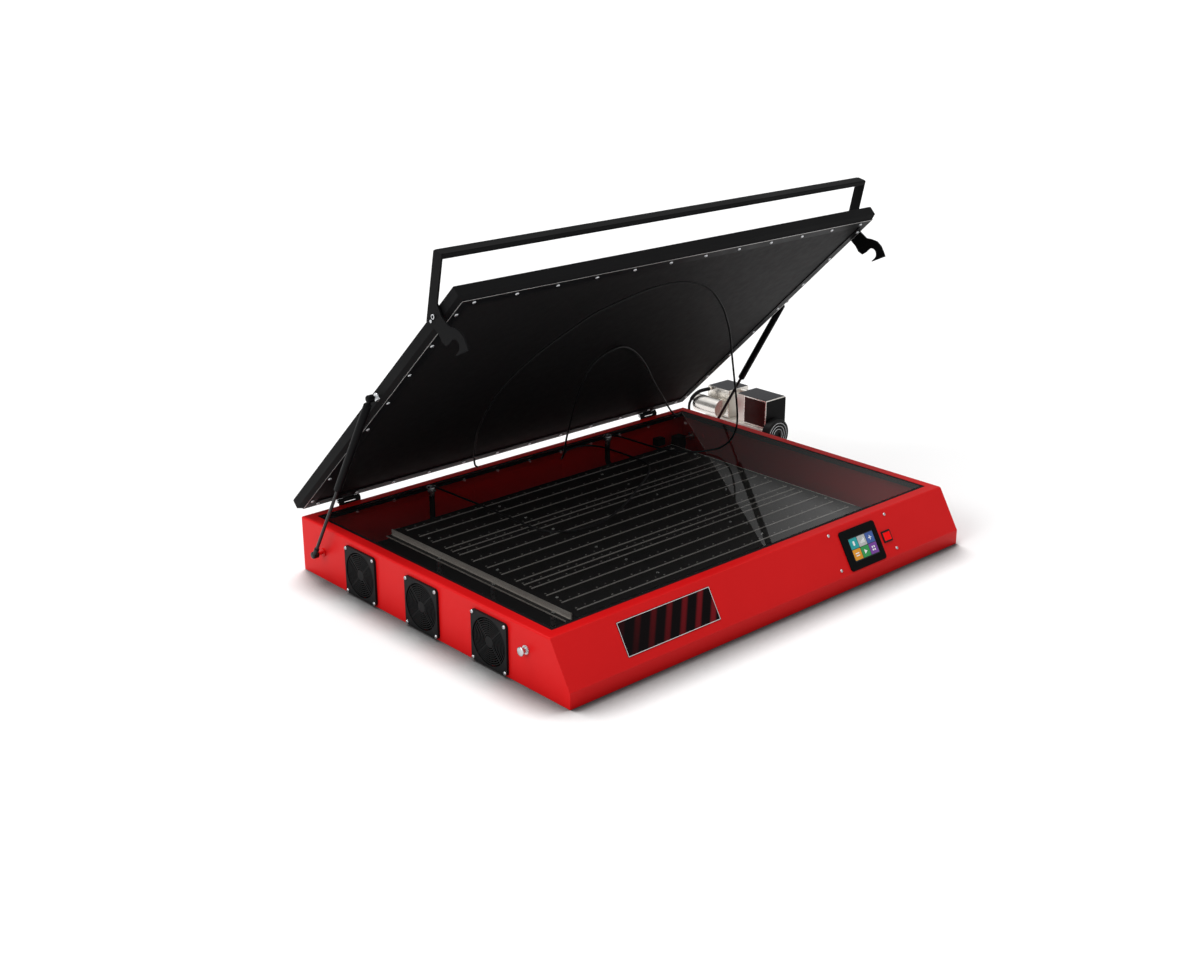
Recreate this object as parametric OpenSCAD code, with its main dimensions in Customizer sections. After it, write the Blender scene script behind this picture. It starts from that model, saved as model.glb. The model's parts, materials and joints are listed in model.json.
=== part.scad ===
// Screen printing exposure unit: an LED light table under glass, a hinged vacuum lid and a pump.
// X runs to the right along the front, Y to the rear, Z up. The origin is the centre of the
// cabinet's footprint, on the floor. Millimetres. The lid is drawn open, resting on its gas struts.

/* [Cabinet] */
// Width of the cabinet
base_w = 1285; // [1240:5:1320]
// Depth of the cabinet
base_d = 960; // [940:5:990]
// Height of the cabinet
base_h = 136; // [132:1:142]
// Thickness of the folded steel sheet
sheet = 2; // [1.5:0.5:2.5]
// Height of the upright lip under the sloping control panel
lip_h = 36; // [32:1:40]
// Depth of the sloping control panel, seen from above
slope_run = 60; // [54:1:66]
// Outside radius of the sheet bends
bend_r = 5; // [4:1:6]
// Width of the rim at each side of the glass
rim_side = 27; // [25:1:30]
// Width of the rim behind the glass
rim_rear = 25; // [24:1:28]
// Width of the rim in front of the glass
rim_front = 25; // [24:1:28]

/* [Glass] */
// Thickness of the glass
glass_t = 6; // [5:1:6]
// Width of the black rubber seal round the glass
seal_w = 9; // [8:1:10]
// Distance of each vacuum port from the centre line
port_x = 298; // [280:1:320]
// Distance of the vacuum ports behind the centre of the cabinet
port_y = 429; // [426:1:429]

/* [LED array] */
// Width of the LED boards
board_w = 940; // [920:5:960]
// Height of the boards' upper face above the floor
board_z = 92; // [85:1:95]
// Positions of the LED strips' front edges, five on each board
strip_y = [324, 273.3, 222.6, 171.8, 146, 120, 69, 18, -33, -84.5, -110.6, -136.5, -187, -237, -287];
// Width of an LED strip
strip_w = 11; // [10:0.5:12]
// Number of LEDs on a strip
led_n = 18; // [12:1:18]
// Distance between LEDs on a strip
led_pitch = 52.65; // [50:0.05:52.65]
// Number of lens LEDs on a strip
lens_n = 9; // [5:1:9]

/* [Fans] */
// Side of a fan's finger guard
guard_w = 117; // [115:1:118]
// Distance between fan screws
fan_screw = 105; // [104:0.5:105]
// Height of the fans' axes above the floor
fan_z = 62; // [62:1:64]
// Positions of the fans along the left wall, from the rear
fan_y = [235, 3, -232];
// Number of blades on a rotor
blade_n = 7; // [5:1:9]

/* [Lid] */
// Width of the lid
lid_w = 1294; // [1290:1:1296]
// Length of the lid
lid_l = 907; // [900:1:912]
// Thickness of the lid tray
lid_t = 31; // [29:1:33]
// Angle of the open lid above level
lid_open = 43.75; // [40:0.25:46]
// Width of the clamp frame round the rubber blanket
clamp_w = 25; // [22:1:27]

/* [Handle] */
// Length of the handle's legs, from their pivot to the bar's front face
leg_l = 134; // [125:1:140]
// Angle between the legs and the lid when the hooks are latched
leg_angle = 34; // [32:0.5:36]
// Thickness of the laser-cut latch plates
plate_t = 4; // [3:0.5:4]

/* [Gas struts] */
// Diameter of a strut's pressure tube
tube_d = 18; // [17:1:20]
// Diameter of a strut's rod
rod_d = 8; // [7:1:9]

/* [Pump] */
// Side of the pump's cubic heads
head_w = 85; // [82:1:88]
// Diameter of the motor housing
motor_d = 84; // [80:1:88]

/* [Hidden] */
$fn = 48;

// Colours of the finishes
red_c = [0.72, 0.09, 0.09];
black_c = [0.09, 0.09, 0.1];
rubber_c = [0.06, 0.06, 0.06];
steel_c = [0.75, 0.76, 0.78];
dark_c = [0.16, 0.16, 0.17];

// Cabinet: the slope's rise and angle, and the window over the glass
slope_rise = base_h - lip_h;
slope_a = atan2(slope_rise, slope_run);
window_w = base_w - 2 * rim_side;
window_y0 = -base_d / 2 + slope_run + rim_front;
window_y1 = base_d / 2 - rim_rear;
glass_w = window_w - 2 * seal_w;
ledge_w = 14;
ledge_t = 2;
seal_foot = 3;
glass_z = base_h - glass_t;
port_hole_r = 8;

// LED array: three boards with 4, 5 and 4 strips
board_t = 2;
board_cuts = [352, 139, -96, -311];
board_gap = 1;
board_screw_out = [250, -5, -209];
board_screw_in = [301, 199, 97, -56, -158, -260];
screw_x_out = [-440, 457];
screw_x_in = [-186, 161];
strip_len = 900;
rail_y = [-292, 357];
rail_h = 15;
rail_t = 2.5;
rail_flange = 18;
rail_screw_y = [158, -40, -242];

// Fans: the depth of a housing, and the finger guard's rings
fan_t = 25;
duct_r = 55;
guard_t = 6;
guard_hub_r = 13;
guard_rings = 8;
guard_pitch = 4.7;

// Hoses in the cabinet, the fitting in the right wall and the inlet in the rear wall
port_hose_r = 7;
manifold_x = 560;
fitting_at = [440, 60];
fitting_end = 667;
inlet_at = [520, 48];
inlet_size = [28, 21];

// Front panel: places along X and up the slope
label_box = [-474, 21, 273.5, 76];
bezel_box = [233, 4, 130, 97];
screen_box = [256, 22.5, 92, 57];
switch_box = [374, 37.5, 32, 28.5];
panel_screw_x = [202, 409];
panel_screw_t = [16.7, 102.6];
rocker_axis = -2;

// Lid and hinge: the lid's own frame has x along the hinge, y to the rear and z up through the
// closed lid, from the rear edge of its underside
hinge_y = 486.5;
hinge_z = 143;
hinge_back = 4.4;
hinge_drop = 3.3;
hinge_x = 505;
hinge_w = 62;
knuckle_r = 5;
knuckle_w = 15;
pin_r = 2.5;
leaf_t = 2.5;
lid_sheet = 2;
chamfer_in = 8.5;
chamfer_up = 7;
clamp_t = 2.5;
blanket_t = 2;
screw_u = [for (i = [0:11]) -602 + i * 109.45];
screw_v = [43, 156, 271, 387, 502, 617, 732, 848];
screw_rows = [20, 886];

// Handle: the pivot in the lid's frame, and the hook's notch and catch pin
pivot_v = 818.2;
pivot_n = 18.5;
plate_x = 650;
notch = [15, -80];
notch_r = 13.5;
pin_y = -346;
pin_z = 84.3;
bar_w = 27;
bar_t = 12;

// Struts: ball centres, on the cabinet and on the lid
strut_x = 666;
low_ball = [394, 69];
high_v = 506;
high_n = 15.5;
ball_r = 5;
socket_r = 8.5;
tube_start = 223;

// Pump: the motor lies along Y under two cubic heads, with a canister at the left
head_x = 800;
head_z = 75;
head_front_y = 301;
head_rear_y = 446;
head_neck = 30;
panel_t = 3;
motor_x = 831;
motor_z = 56;
motor_end = head_rear_y + head_w;
motor_foot_y = [340, 490];
cover_r = 47;
canister_at = [767, 111.5];
canister_r = 26;
hose_start = [796, 523, 150];

// A point of the lid's frame, given along the lid from the hinge edge and up from its underside
function lid_world(v, n, a) = [
  hinge_y - (v + hinge_back) * cos(a) + (n + hinge_drop) * sin(a),
  hinge_z + (v + hinge_back) * sin(a) + (n + hinge_drop) * cos(a)];
high_open = lid_world(high_v, high_n, lid_open);
strut_len = norm(high_open - low_ball);
strut_a = atan2(high_open[1] - low_ball[1], high_open[0] - low_ball[0]);

// Routes of the hose and cords, chosen by hand: from the pump's rear head over the canister, down
// behind it and into the wall fitting, and from each vacuum port over the glass, up against the
// open lid and back
pump_hose_r = 4;
pump_hose_route = [[795.9, 523, 150], [785, 523.4, 150.2], [774, 525.5, 149.8], [762, 528.5, 148],
  [751, 531.5, 143], [742, 534.5, 136], [735.5, 537.5, 126], [731.8, 540, 115], [731, 541, 103],
  [730.5, 539.5, 91], [729.2, 535, 80], [727, 528, 71], [724.5, 519, 65], [721.5, 509, 61.2],
  [718.5, 499, 60], [714, 484.5, 60], [709, 469, 60], [702.5, 457.5, 60], [694.5, 449, 60],
  [685, 443.3, 60], [676, 440.7, 60], [667.1, 440, 60]];
cord_r = 2.5;
cord_right_route = [[305, 418.8, 139], [311, 408, 139], [317, 370, 139], [319, 325, 139],
  [321, 285, 139], [328, 242, 139], [345, 205, 139], [372, 172, 139], [402, 149, 142],
  [424, 124, 152], [434, 100, 176], [428, 76, 214], [410, 56, 252], [384, 35, 294],
  [354, 13, 341], [324, -8, 388], [276, -42, 463], [230, -75, 535], [198, -92, 580],
  [166, -106, 618], [114, -117, 666], [52, -121, 692], [-18, -123, 702], [-91, -123, 699],
  [-144, -120, 690], [-190, -112, 678], [-228, -95, 661], [-262, -67, 631], [-296, -28, 592],
  [-318, 22, 545], [-325, 78, 494], [-319, 138, 440], [-298, 205, 380], [-264, 276, 318],
  [-230, 330, 274], [-196, 380, 230], [-166, 424, 184], [-142, 452, 152], [-124, 466, 139]];
cord_left_route = [[-296, 416.8, 139], [-294, 400, 139], [-292, 322, 139], [-290, 236, 139],
  [-290, 137, 139], [-292, 56, 139], [-276, 0, 139], [-230, -32, 139], [-160, -36, 139],
  [-80, -12, 139], [0, 30, 139], [90, 84, 139], [170, 136, 139], [212, 184, 139],
  [222, 240, 139], [222, 320, 139], [216, 376, 139], [186, 408, 139], [140, 410, 139],
  [100, 386, 139], [72, 360, 142], [50, 330, 160], [30, 300, 192], [11, 271, 234],
  [-14, 226, 296], [-34, 188, 352], [-48, 158, 393], [-53, 134, 429], [-47, 113, 464],
  [-26, 101, 488], [14, 103, 498], [62, 119, 493], [116, 143, 470], [173, 172, 434],
  [240, 215, 384], [309, 264, 327], [400, 325, 257], [480, 379, 195], [534, 413, 156],
  [566, 429, 140], [592, 438, 139]];

// Points of an arc round c, as a list to place in an outline
function arc(c, r, a0, a1, n = 6) =
  [for (i = [0:n]) c + r * [cos(a0 + (a1 - a0) * i / n), sin(a0 + (a1 - a0) * i / n)]];

// Side outline of the cabinet in Y and Z, every face moved inwards by d
function side_outline(d, bottom) = concat(
  [[-base_d / 2 + d, bottom]],
  arc([-base_d / 2 + bend_r, lip_h - bend_r * tan((90 - slope_a) / 2)],
      bend_r - d, 180, 90 + slope_a, 3),
  arc([-base_d / 2 + slope_run + bend_r * tan(slope_a / 2), base_h - bend_r],
      bend_r - d, 90 + slope_a, 90, 5),
  arc([base_d / 2 - bend_r, base_h - bend_r], bend_r - d, 90, 0),
  [[base_d / 2 - d, bottom]]);

// Front outline of the cabinet in X and Z, every face moved inwards by d
function front_outline(d, bottom) = concat(
  [[-base_w / 2 + d, bottom]],
  arc([-base_w / 2 + bend_r, base_h - bend_r], bend_r - d, 180, 90),
  arc([base_w / 2 - bend_r, base_h - bend_r], bend_r - d, 90, 0),
  [[base_w / 2 - d, bottom]]);

// An outline in Y and Z, extruded along X between x0 and x1
module along_x(x0, x1) {
  translate([x0, 0, 0]) rotate([90, 0, 90]) linear_extrude(x1 - x0) children();
}

// An outline in X and Z, extruded along Y between y0 and y1
module along_y(y0, y1) {
  translate([0, y1, 0]) rotate([90, 0, 0]) linear_extrude(y1 - y0) children();
}

// A cylinder whose axis is X, from x0 to x1
module rod_x(x0, x1, r) {
  translate([x0, 0, 0]) rotate([0, 90, 0]) cylinder(r = r, h = x1 - x0);
}

// A cylinder whose axis is Y, from y0 to y1
module rod_y(y0, y1, r) {
  translate([0, y1, 0]) rotate([90, 0, 0]) cylinder(r = r, h = y1 - y0);
}

// A rectangle with rounded corners, from its lower left corner
module round_rect(w, h, r) {
  polygon(concat(arc([r, r], r, 180, 270, 4), arc([w - r, r], r, 270, 360, 4),
    arc([w - r, h - r], r, 0, 90, 4), arc([r, h - r], r, 90, 180, 4)));
}

// A flat ring between two rectangles centred on X, from y0 to y1, inset by d
module frame_ring(w, y0, y1, d_out, d_in, z0, z1) {
  difference() {
    translate([-w / 2 + d_out, y0 + d_out, z0])
      cube([w - 2 * d_out, y1 - y0 - 2 * d_out, z1 - z0]);
    translate([-w / 2 + d_in, y0 + d_in, z0 - 1])
      cube([w - 2 * d_in, y1 - y0 - 2 * d_in, z1 - z0 + 2]);
  }
}

// Places its children on the sloping panel, at x and t up the slope, with z out of the panel
module on_slope(x = 0, t = 0) {
  translate([0, -base_d / 2, lip_h]) rotate([slope_a, 0, 0]) translate([x, t, 0]) children();
}

// Places its children in the open lid's frame
module on_lid() {
  translate([0, hinge_y, hinge_z]) rotate([-lid_open, 0, 0])
    translate([0, -hinge_back, hinge_drop]) children();
}

// A sheet-metal cabinet block with rounded bends, every face moved inwards by d
module cabinet_block(d, bottom) {
  intersection() {
    along_x(-base_w / 2, base_w / 2) polygon(side_outline(d, bottom));
    along_y(-base_d / 2, base_d / 2) polygon(front_outline(d, bottom));
  }
}

// The four screw places of one fan, as children on the X axis
module fan_corners() {
  for (sy = [-1, 1], sz = [-1, 1]) translate([0, sy * fan_screw / 2, sz * fan_screw / 2]) children();
}

module at_fans() {
  for (y = fan_y) translate([-base_w / 2, y, fan_z]) children();
}

module base_shell() {
  color(red_c) difference() {
    union() {
      difference() {
        cabinet_block(0, 0);
        cabinet_block(sheet, -1);
        translate([-window_w / 2, window_y0, base_h - 2 * sheet])
          cube([window_w, window_y1 - window_y0, 4 * sheet]);
      }
      frame_ring(window_w, window_y0, window_y1, -sheet, 0, glass_z - seal_foot, base_h - sheet);
    }
    at_fans() {
      rod_x(-1, sheet + 1, duct_r);
      fan_corners() rod_x(-1, sheet + 1, 2.2);
    }
    on_slope(screen_box[0] - 4, screen_box[1] - 4) translate([0, 0, -10])
      cube([screen_box[2] + 8, screen_box[3] + 8, 20]);
    on_slope(switch_box[0] + 2, switch_box[1] + 2) translate([0, 0, -10])
      cube([switch_box[2] - 4, switch_box[3] - 4, 20]);
    for (x = panel_screw_x, t = panel_screw_t) on_slope(x, t) translate([0, 0, -10])
      cylinder(r = 2.1, h = 20);
    for (sx = [-1, 1]) {
      translate([sx * base_w / 2, pin_y, pin_z]) rod_x(-5, 5, 6);
      translate([sx * base_w / 2, low_ball[0], low_ball[1]]) rod_x(-5, 5, 4);
    }
    translate([base_w / 2, fitting_at[0], fitting_at[1]]) rod_x(-5, 5, 7);
    translate([inlet_at[0], base_d / 2 - 5, inlet_at[1]]) cube([inlet_size[0], 10, inlet_size[1]]);
  }
}

module floor_pan() {
  w = base_w - 2 * sheet;
  d = base_d - 2 * sheet;
  edge = 12;
  color(black_c) union() {
    translate([-w / 2, -d / 2, 0]) cube([w, d, sheet]);
    translate([-w / 2, -d / 2, 0]) cube([w, sheet, edge]);
    translate([-w / 2, d / 2 - sheet, 0]) cube([w, sheet, edge]);
    translate([w / 2 - sheet, -d / 2, 0]) cube([sheet, d, edge]);
  }
}

module glass_frame() {
  z1 = glass_z - seal_foot;
  color(black_c) frame_ring(window_w, window_y0, window_y1, -sheet, ledge_w, z1 - ledge_t, z1);
}

module glass_seal() {
  color(rubber_c) union() {
    frame_ring(window_w, window_y0, window_y1, 0, ledge_w, glass_z - seal_foot, glass_z);
    frame_ring(window_w, window_y0, window_y1, 0, seal_w, glass_z, base_h - 0.5);
  }
}

module glass_plate() {
  color([0.25, 0.3, 0.3, 0.4]) difference() {
    translate([-glass_w / 2, window_y0 + seal_w, glass_z])
      cube([glass_w, window_y1 - window_y0 - 2 * seal_w, glass_t]);
    for (sx = [-1, 1]) translate([sx * port_x, port_y, glass_z - 1])
      cylinder(r = port_hole_r, h = glass_t + 2);
  }
}

// A vacuum port: a turned flange on the glass, its threaded body and the barb under it
module port() {
  rotate_extrude() polygon([[3, 3], [9.5, 3], [11.5, 2.4], [12, 1.6], [12, 0], [7.5, 0],
    [7.5, -20], [4.7, -20], [4.7, -23], [3, -23]]);
}

module vacuum_ports() {
  color(steel_c) for (sx = [-1, 1]) translate([sx * port_x, port_y, base_h]) port();
}

module port_nuts() {
  color(steel_c) for (sx = [-1, 1]) translate([sx * port_x, port_y, glass_z - 4]) difference() {
    cylinder(r = 12, h = 4, $fn = 6);
    translate([0, 0, -1]) cylinder(r = 7.5, h = 6);
  }
}

// A hose from a port at x down to height z, round a bend and to the right as far as x1
module port_hose(x, z, x1) {
  bend = 30;
  translate([x, port_y, z + bend]) cylinder(r = port_hose_r, h = base_h - 23 - z - bend);
  translate([x + bend, port_y, z + bend]) rotate([90, 0, 0]) rotate([0, 0, 180])
    rotate_extrude(angle = 90) translate([bend, 0]) circle(r = port_hose_r);
  translate([0, port_y, z]) rod_x(x + bend, x1, port_hose_r);
}

module port_hoses() {
  color(rubber_c) union() {
    port_hose(-port_x, 18, manifold_x);
    port_hose(port_x, 44, manifold_x);
  }
}

module hose_manifold() {
  color(dark_c) translate([manifold_x, port_y - 15, sheet]) cube([30, 30, 74]);
}

// The wall fitting: a hexagon flange outside, a nut inside and a pipe back to the manifold
module hose_fitting() {
  color(steel_c) translate([0, fitting_at[0], fitting_at[1]]) union() {
    rod_x(base_w / 2, base_w / 2 + 6, 11);
    rod_x(base_w / 2 - 8, base_w / 2 + 16, 7);
    rod_x(base_w / 2 + 16, fitting_end, 4);
    rod_x(base_w / 2 - 8, base_w / 2 - sheet, 11);
    rod_x(manifold_x + 30, base_w / 2 - 8, 4);
  }
}

// One LED board, with the clearance holes of its screws
module led_board(y0, y1) {
  color([0.07, 0.07, 0.08]) difference() {
    translate([-board_w / 2, y0 + board_gap / 2, board_z - board_t])
      cube([board_w, y1 - y0 - board_gap, board_t]);
    board_screw_places() translate([0, 0, board_z - board_t - 1]) cylinder(r = 1.6, h = board_t + 2);
  }
}

module board_screw_places() {
  for (y = board_screw_out, x = screw_x_out) translate([x, y, 0]) children();
  for (y = board_screw_in, x = screw_x_in) translate([x, y, 0]) children();
}

module led_board_rear() { led_board(board_cuts[1], board_cuts[0]); }
module led_board_middle() { led_board(board_cuts[2], board_cuts[1]); }
module led_board_front() { led_board(board_cuts[3], board_cuts[2]); }

// One strip with its raised front edge, and the LED packages and lens LEDs along it
module led_strip() {
  led_y = 7.5;
  lens_y = 9;
  translate([-strip_len / 2, -1.6, 0]) cube([strip_len, strip_w + 1.6, 1.2]);
  translate([-strip_len / 2, -1.6, 0]) cube([strip_len, 3, 1.6]);
  for (i = [0:led_n - 1]) translate([(i - (led_n - 1) / 2) * led_pitch - 1.5, led_y - 1.5, 0])
    cube([3, 3, 2.2]);
  for (i = [0:lens_n - 1]) translate([(i - (lens_n - 1) / 2) * 2 * led_pitch, lens_y, 1])
    cylinder(r1 = 2, r2 = 1, h = 2.8, $fn = 8);
}

module led_strips() {
  color([0.5, 0.5, 0.5]) for (y = strip_y) translate([0, y, board_z]) led_strip();
}

module board_screws() {
  color(steel_c) board_screw_places() translate([0, 0, board_z]) union() {
    cylinder(r1 = 3.6, r2 = 2.4, h = 2);
    translate([0, 0, -board_t]) cylinder(r = 1.5, h = board_t + 1);
  }
}

module board_spacers() {
  color(steel_c) for (y = board_screw_in, x = screw_x_in)
    translate([x, y, sheet]) cylinder(r = 4.5, h = board_z - board_t - sheet, $fn = 6);
}

// A folded rail: it holds the board on an inner flange and has an outer foot with screws
module led_rail(side) {
  x0 = board_w / 2;
  color(steel_c) mirror([side < 0 ? 1 : 0, 0, 0]) difference() {
    along_y(rail_y[0], rail_y[1]) polygon([
      [x0 - 20, board_z - board_t - rail_t], [x0, board_z - board_t - rail_t],
      [x0, board_z - rail_h], [x0 + rail_flange, board_z - rail_h],
      [x0 + rail_flange, board_z - rail_h + rail_t], [x0 + rail_t, board_z - rail_h + rail_t],
      [x0 + rail_t, board_z], [x0, board_z], [x0, board_z - board_t],
      [x0 - 20, board_z - board_t]]);
    for (y = rail_screw_y) translate([x0 + 10.5, y, 0]) cylinder(r = 2.1, h = 200);
  }
}

module led_rail_left() { led_rail(-1); }
module led_rail_right() { led_rail(1); }

// Turned posts under the rails' feet, each with its screw through the foot
module rail_posts() {
  foot_z = board_z - rail_h;
  color(steel_c) for (sx = [-1, 1], y = rail_screw_y)
    translate([sx * (board_w / 2 + 10.5), y, 0]) union() {
      translate([0, 0, sheet]) cylinder(r = 6, h = foot_z - sheet);
      cylinder_on(foot_z - 1, 2, rail_t + 2);
      cylinder_on(foot_z + rail_t, 3.8, 2.4);
    }
}

module cylinder_on(z, r, h) {
  translate([0, 0, z]) cylinder(r = r, h = h);
}

// A finger guard: a rounded square with concentric rings on four spokes round a solid hub
module fan_guard() {
  difference() {
    union() {
      difference() {
        along_x(-guard_t, 0) translate([-guard_w / 2, -guard_w / 2]) round_rect(guard_w, guard_w, 9);
        rod_x(-guard_t - 1, 1, 54);
      }
      for (i = [1:guard_rings]) difference() {
        rod_x(-4.5, -1.5, guard_hub_r + i * guard_pitch);
        rod_x(-5, 0, guard_hub_r + i * guard_pitch - 2);
      }
      rod_x(-4.5, -1.5, guard_hub_r);
      for (a = [45, 135]) rotate([a, 0, 0]) translate([-4, -54.5, -1.5]) cube([2, 109, 3]);
    }
    fan_corners() rod_x(-guard_t - 1, 1, 2.2);
  }
}

module fan_guards() {
  color(black_c) at_fans() fan_guard();
}

module guard_screws() {
  color(steel_c) at_fans() fan_corners() union() {
    rod_x(-guard_t - 2.4, -guard_t, 4);
    rod_x(-guard_t - 1, sheet + 12, 2);
  }
}

// A fan's housing: a square frame with a round duct, and the motor plate held by four arms
module fan_frame() {
  s = guard_w + 1;
  translate([sheet, 0, 0]) union() {
    difference() {
      along_x(0, fan_t) translate([-s / 2, -s / 2]) round_rect(s, s, 8);
      rod_x(-1, fan_t + 1, duct_r);
      fan_corners() rod_x(-1, fan_t + 1, 2.2);
    }
    rod_x(fan_t - 4, fan_t, 19);
    for (a = [20, 110]) rotate([a, 0, 0]) translate([fan_t - 4, -56, -2.5]) cube([4, 112, 5]);
    rod_x(6, fan_t - 3, 1.5);
  }
}

module fan_frames() {
  color(black_c) at_fans() fan_frame();
}

// A rotor: a hub with a bore for the shaft and pitched blades, trimmed to the duct
module fan_rotor(y) {
  hub_r = 19;
  color(dark_c) translate([-base_w / 2 + sheet, y, fan_z]) difference() {
    union() {
      rod_x(2, 20.5, hub_r);
      intersection() {
        for (i = [0:blade_n - 1]) rotate([i * 360 / blade_n, 0, 0])
          translate([11, 0, 34]) rotate([0, 0, 38]) cube([3, 30, 42], center = true);
        rod_x(2.5, 19.5, 53);
      }
    }
    rod_x(1, 21, 1.55);
  }
}

module fan_rotor_rear() { fan_rotor(fan_y[0]); }
module fan_rotor_middle() { fan_rotor(fan_y[1]); }
module fan_rotor_front() { fan_rotor(fan_y[2]); }

module label_plate() {
  color([0.12, 0.05, 0.06]) on_slope(label_box[0], label_box[1])
    linear_extrude(1) round_rect(label_box[2], label_box[3], 2);
}

// The display's bezel: a moulded frame with a sloped inner edge and rounded corners
module screen_bezel() {
  t = 3;
  color(black_c) on_slope() difference() {
    translate([bezel_box[0], bezel_box[1], 0])
      linear_extrude(t) round_rect(bezel_box[2], bezel_box[3], 8);
    translate([screen_box[0], screen_box[1], -1]) cube([screen_box[2], screen_box[3], t + 2]);
  }
}

module screen_display() {
  color([0.1, 0.35, 0.5]) on_slope(screen_box[0], screen_box[1]) translate([0, 0, -14])
    cube([screen_box[2], screen_box[3], 15.5]);
}

module panel_screws() {
  color(steel_c) for (x = panel_screw_x, t = panel_screw_t) on_slope(x, t) union() {
    cylinder(r1 = 4, r2 = 2.6, h = 2.2);
    translate([0, 0, -6]) cylinder(r = 2, h = 7);
  }
}

// The rocker switch's housing, snapped into the panel from outside
module switch_frame() {
  w = switch_box[2];
  h = switch_box[3];
  color(black_c) on_slope(switch_box[0], switch_box[1]) difference() {
    union() {
      linear_extrude(2) round_rect(w, h, 2.5);
      translate([2.2, 2.2, -16]) cube([w - 4.4, h - 4.4, 17]);
    }
    translate([4, 4, -10]) cube([w - 8, h - 8, 20]);
    translate([w / 2, h / 2, rocker_axis]) rotate([90, 0, 0])
      cylinder(r = 1.6, h = h - 5, center = true);
  }
}

// The rocker: a shallow vee over its pivot, standing with its right half raised
module switch_rocker() {
  w = switch_box[2] - 10;
  h = switch_box[3] - 9;
  tilt = -8;
  color([0.85, 0.1, 0.08])
    on_slope(switch_box[0] + switch_box[2] / 2, switch_box[1] + switch_box[3] / 2)
    translate([0, 0, rocker_axis]) rotate([0, tilt, 0]) union() {
      rotate([90, 0, 0]) linear_extrude(h, center = true) polygon([[-w / 2, 5.2], [0, 3.6],
        [w / 2, 5.2], [w / 2 - 1.5, -1], [4, -4], [-4, -4], [-w / 2 + 1.5, -1]]);
      rotate([90, 0, 0]) cylinder(r = 1.5, h = h + 3, center = true);
    }
}

// An appliance inlet in the rear wall: a flange with a recessed socket
module power_inlet() {
  w = inlet_size[0];
  h = inlet_size[1];
  color(black_c) translate([inlet_at[0], base_d / 2, inlet_at[1]]) difference() {
    union() {
      translate([-3, 0, -3]) cube([w + 6, 2.5, h + 6]);
      translate([0, -24, 0]) cube([w, 24, h]);
    }
    translate([2.5, -18, 2.5]) cube([w - 5, 30, h - 5]);
  }
}

// A catch pin: a washer on the wall, a shank for the hook and a domed head
module catch_pin() {
  rotate_extrude() polygon(concat([[0, -4], [6, -4], [6, 0], [10, 0], [10, 2], [6, 2],
    [6, 12.5], [10, 12.5], [10, 14]], arc([8, 14], 2, 0, 90, 4), [[0, 17.5]]));
}

module catch_pins() {
  color(steel_c) for (sx = [-1, 1]) translate([sx * base_w / 2, pin_y, pin_z])
    rotate([0, sx * 90, 0]) catch_pin();
}

// Knuckle places along a hinge: the outer two belong to the cabinet, the middle one to the lid
module base_knuckles() {
  for (x = [-hinge_w / 2, hinge_w / 2 - knuckle_w]) rod_x(x, x + knuckle_w, knuckle_r);
}

module hinge_base_leaves() {
  color(black_c) for (sx = [-1, 1]) translate([sx * hinge_x, hinge_y, hinge_z]) difference() {
    union() {
      base_knuckles();
      for (x = [-hinge_w / 2, hinge_w / 2 - knuckle_w])
        translate([x, base_d / 2 - hinge_y, -12]) cube([knuckle_w, leaf_t, 12]);
      translate([-hinge_w / 2, base_d / 2 - hinge_y, -44]) cube([hinge_w, leaf_t, 34]);
    }
    rod_x(-hinge_w, hinge_w, pin_r);
  }
}

module hinge_pins() {
  color(steel_c) for (sx = [-1, 1]) translate([sx * hinge_x, hinge_y, hinge_z]) union() {
    rod_x(-hinge_w / 2 - 1.5, hinge_w / 2, pin_r);
    rod_x(-hinge_w / 2 - 2.5, -hinge_w / 2, 3.6);
  }
}

module hinge_lid_leaves() {
  half = hinge_w / 2 - knuckle_w - 0.5;
  color(black_c) for (sx = [-1, 1]) translate([sx * hinge_x, hinge_y, hinge_z])
    rotate([-lid_open, 0, 0]) difference() {
      union() {
        rod_x(-half, half, knuckle_r);
        translate([-half, -hinge_back, 0]) cube([2 * half, leaf_t, 12]);
        translate([-hinge_w / 2, -hinge_back, 8]) cube([hinge_w, leaf_t, 22]);
      }
      rod_x(-hinge_w, hinge_w, pin_r + 0.06);
    }
}

// A block of the lid's outline, every face moved inwards by d, with a chamfered lower edge
module lid_block(d) {
  grow = 1 + d * norm([1 / chamfer_in, 1 / chamfer_up]);
  top_edge = 2.5;
  side = [[chamfer_in * (grow - d / chamfer_up), d], [d, chamfer_up * (grow - d / chamfer_in)],
    [d, lid_t - top_edge], [d + top_edge, lid_t - d]];
  intersection() {
    along_y(-lid_l, 0) polygon(concat([for (q = side) [q[0] - lid_w / 2, q[1]]],
      [for (i = [3:-1:0]) [lid_w / 2 - side[i][0], side[i][1]]]));
    along_x(-lid_w / 2, lid_w / 2) polygon(concat([for (q = side) [q[0] - lid_l, q[1]]],
      [for (i = [3:-1:0]) [-side[i][0], side[i][1]]]));
  }
}

module clamp_screw_places() {
  for (u = screw_u, v = screw_rows) translate([u, -v, 0]) children();
  for (sx = [-1, 1], v = screw_v) translate([sx * 626.5, -v, 0]) children();
}

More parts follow.
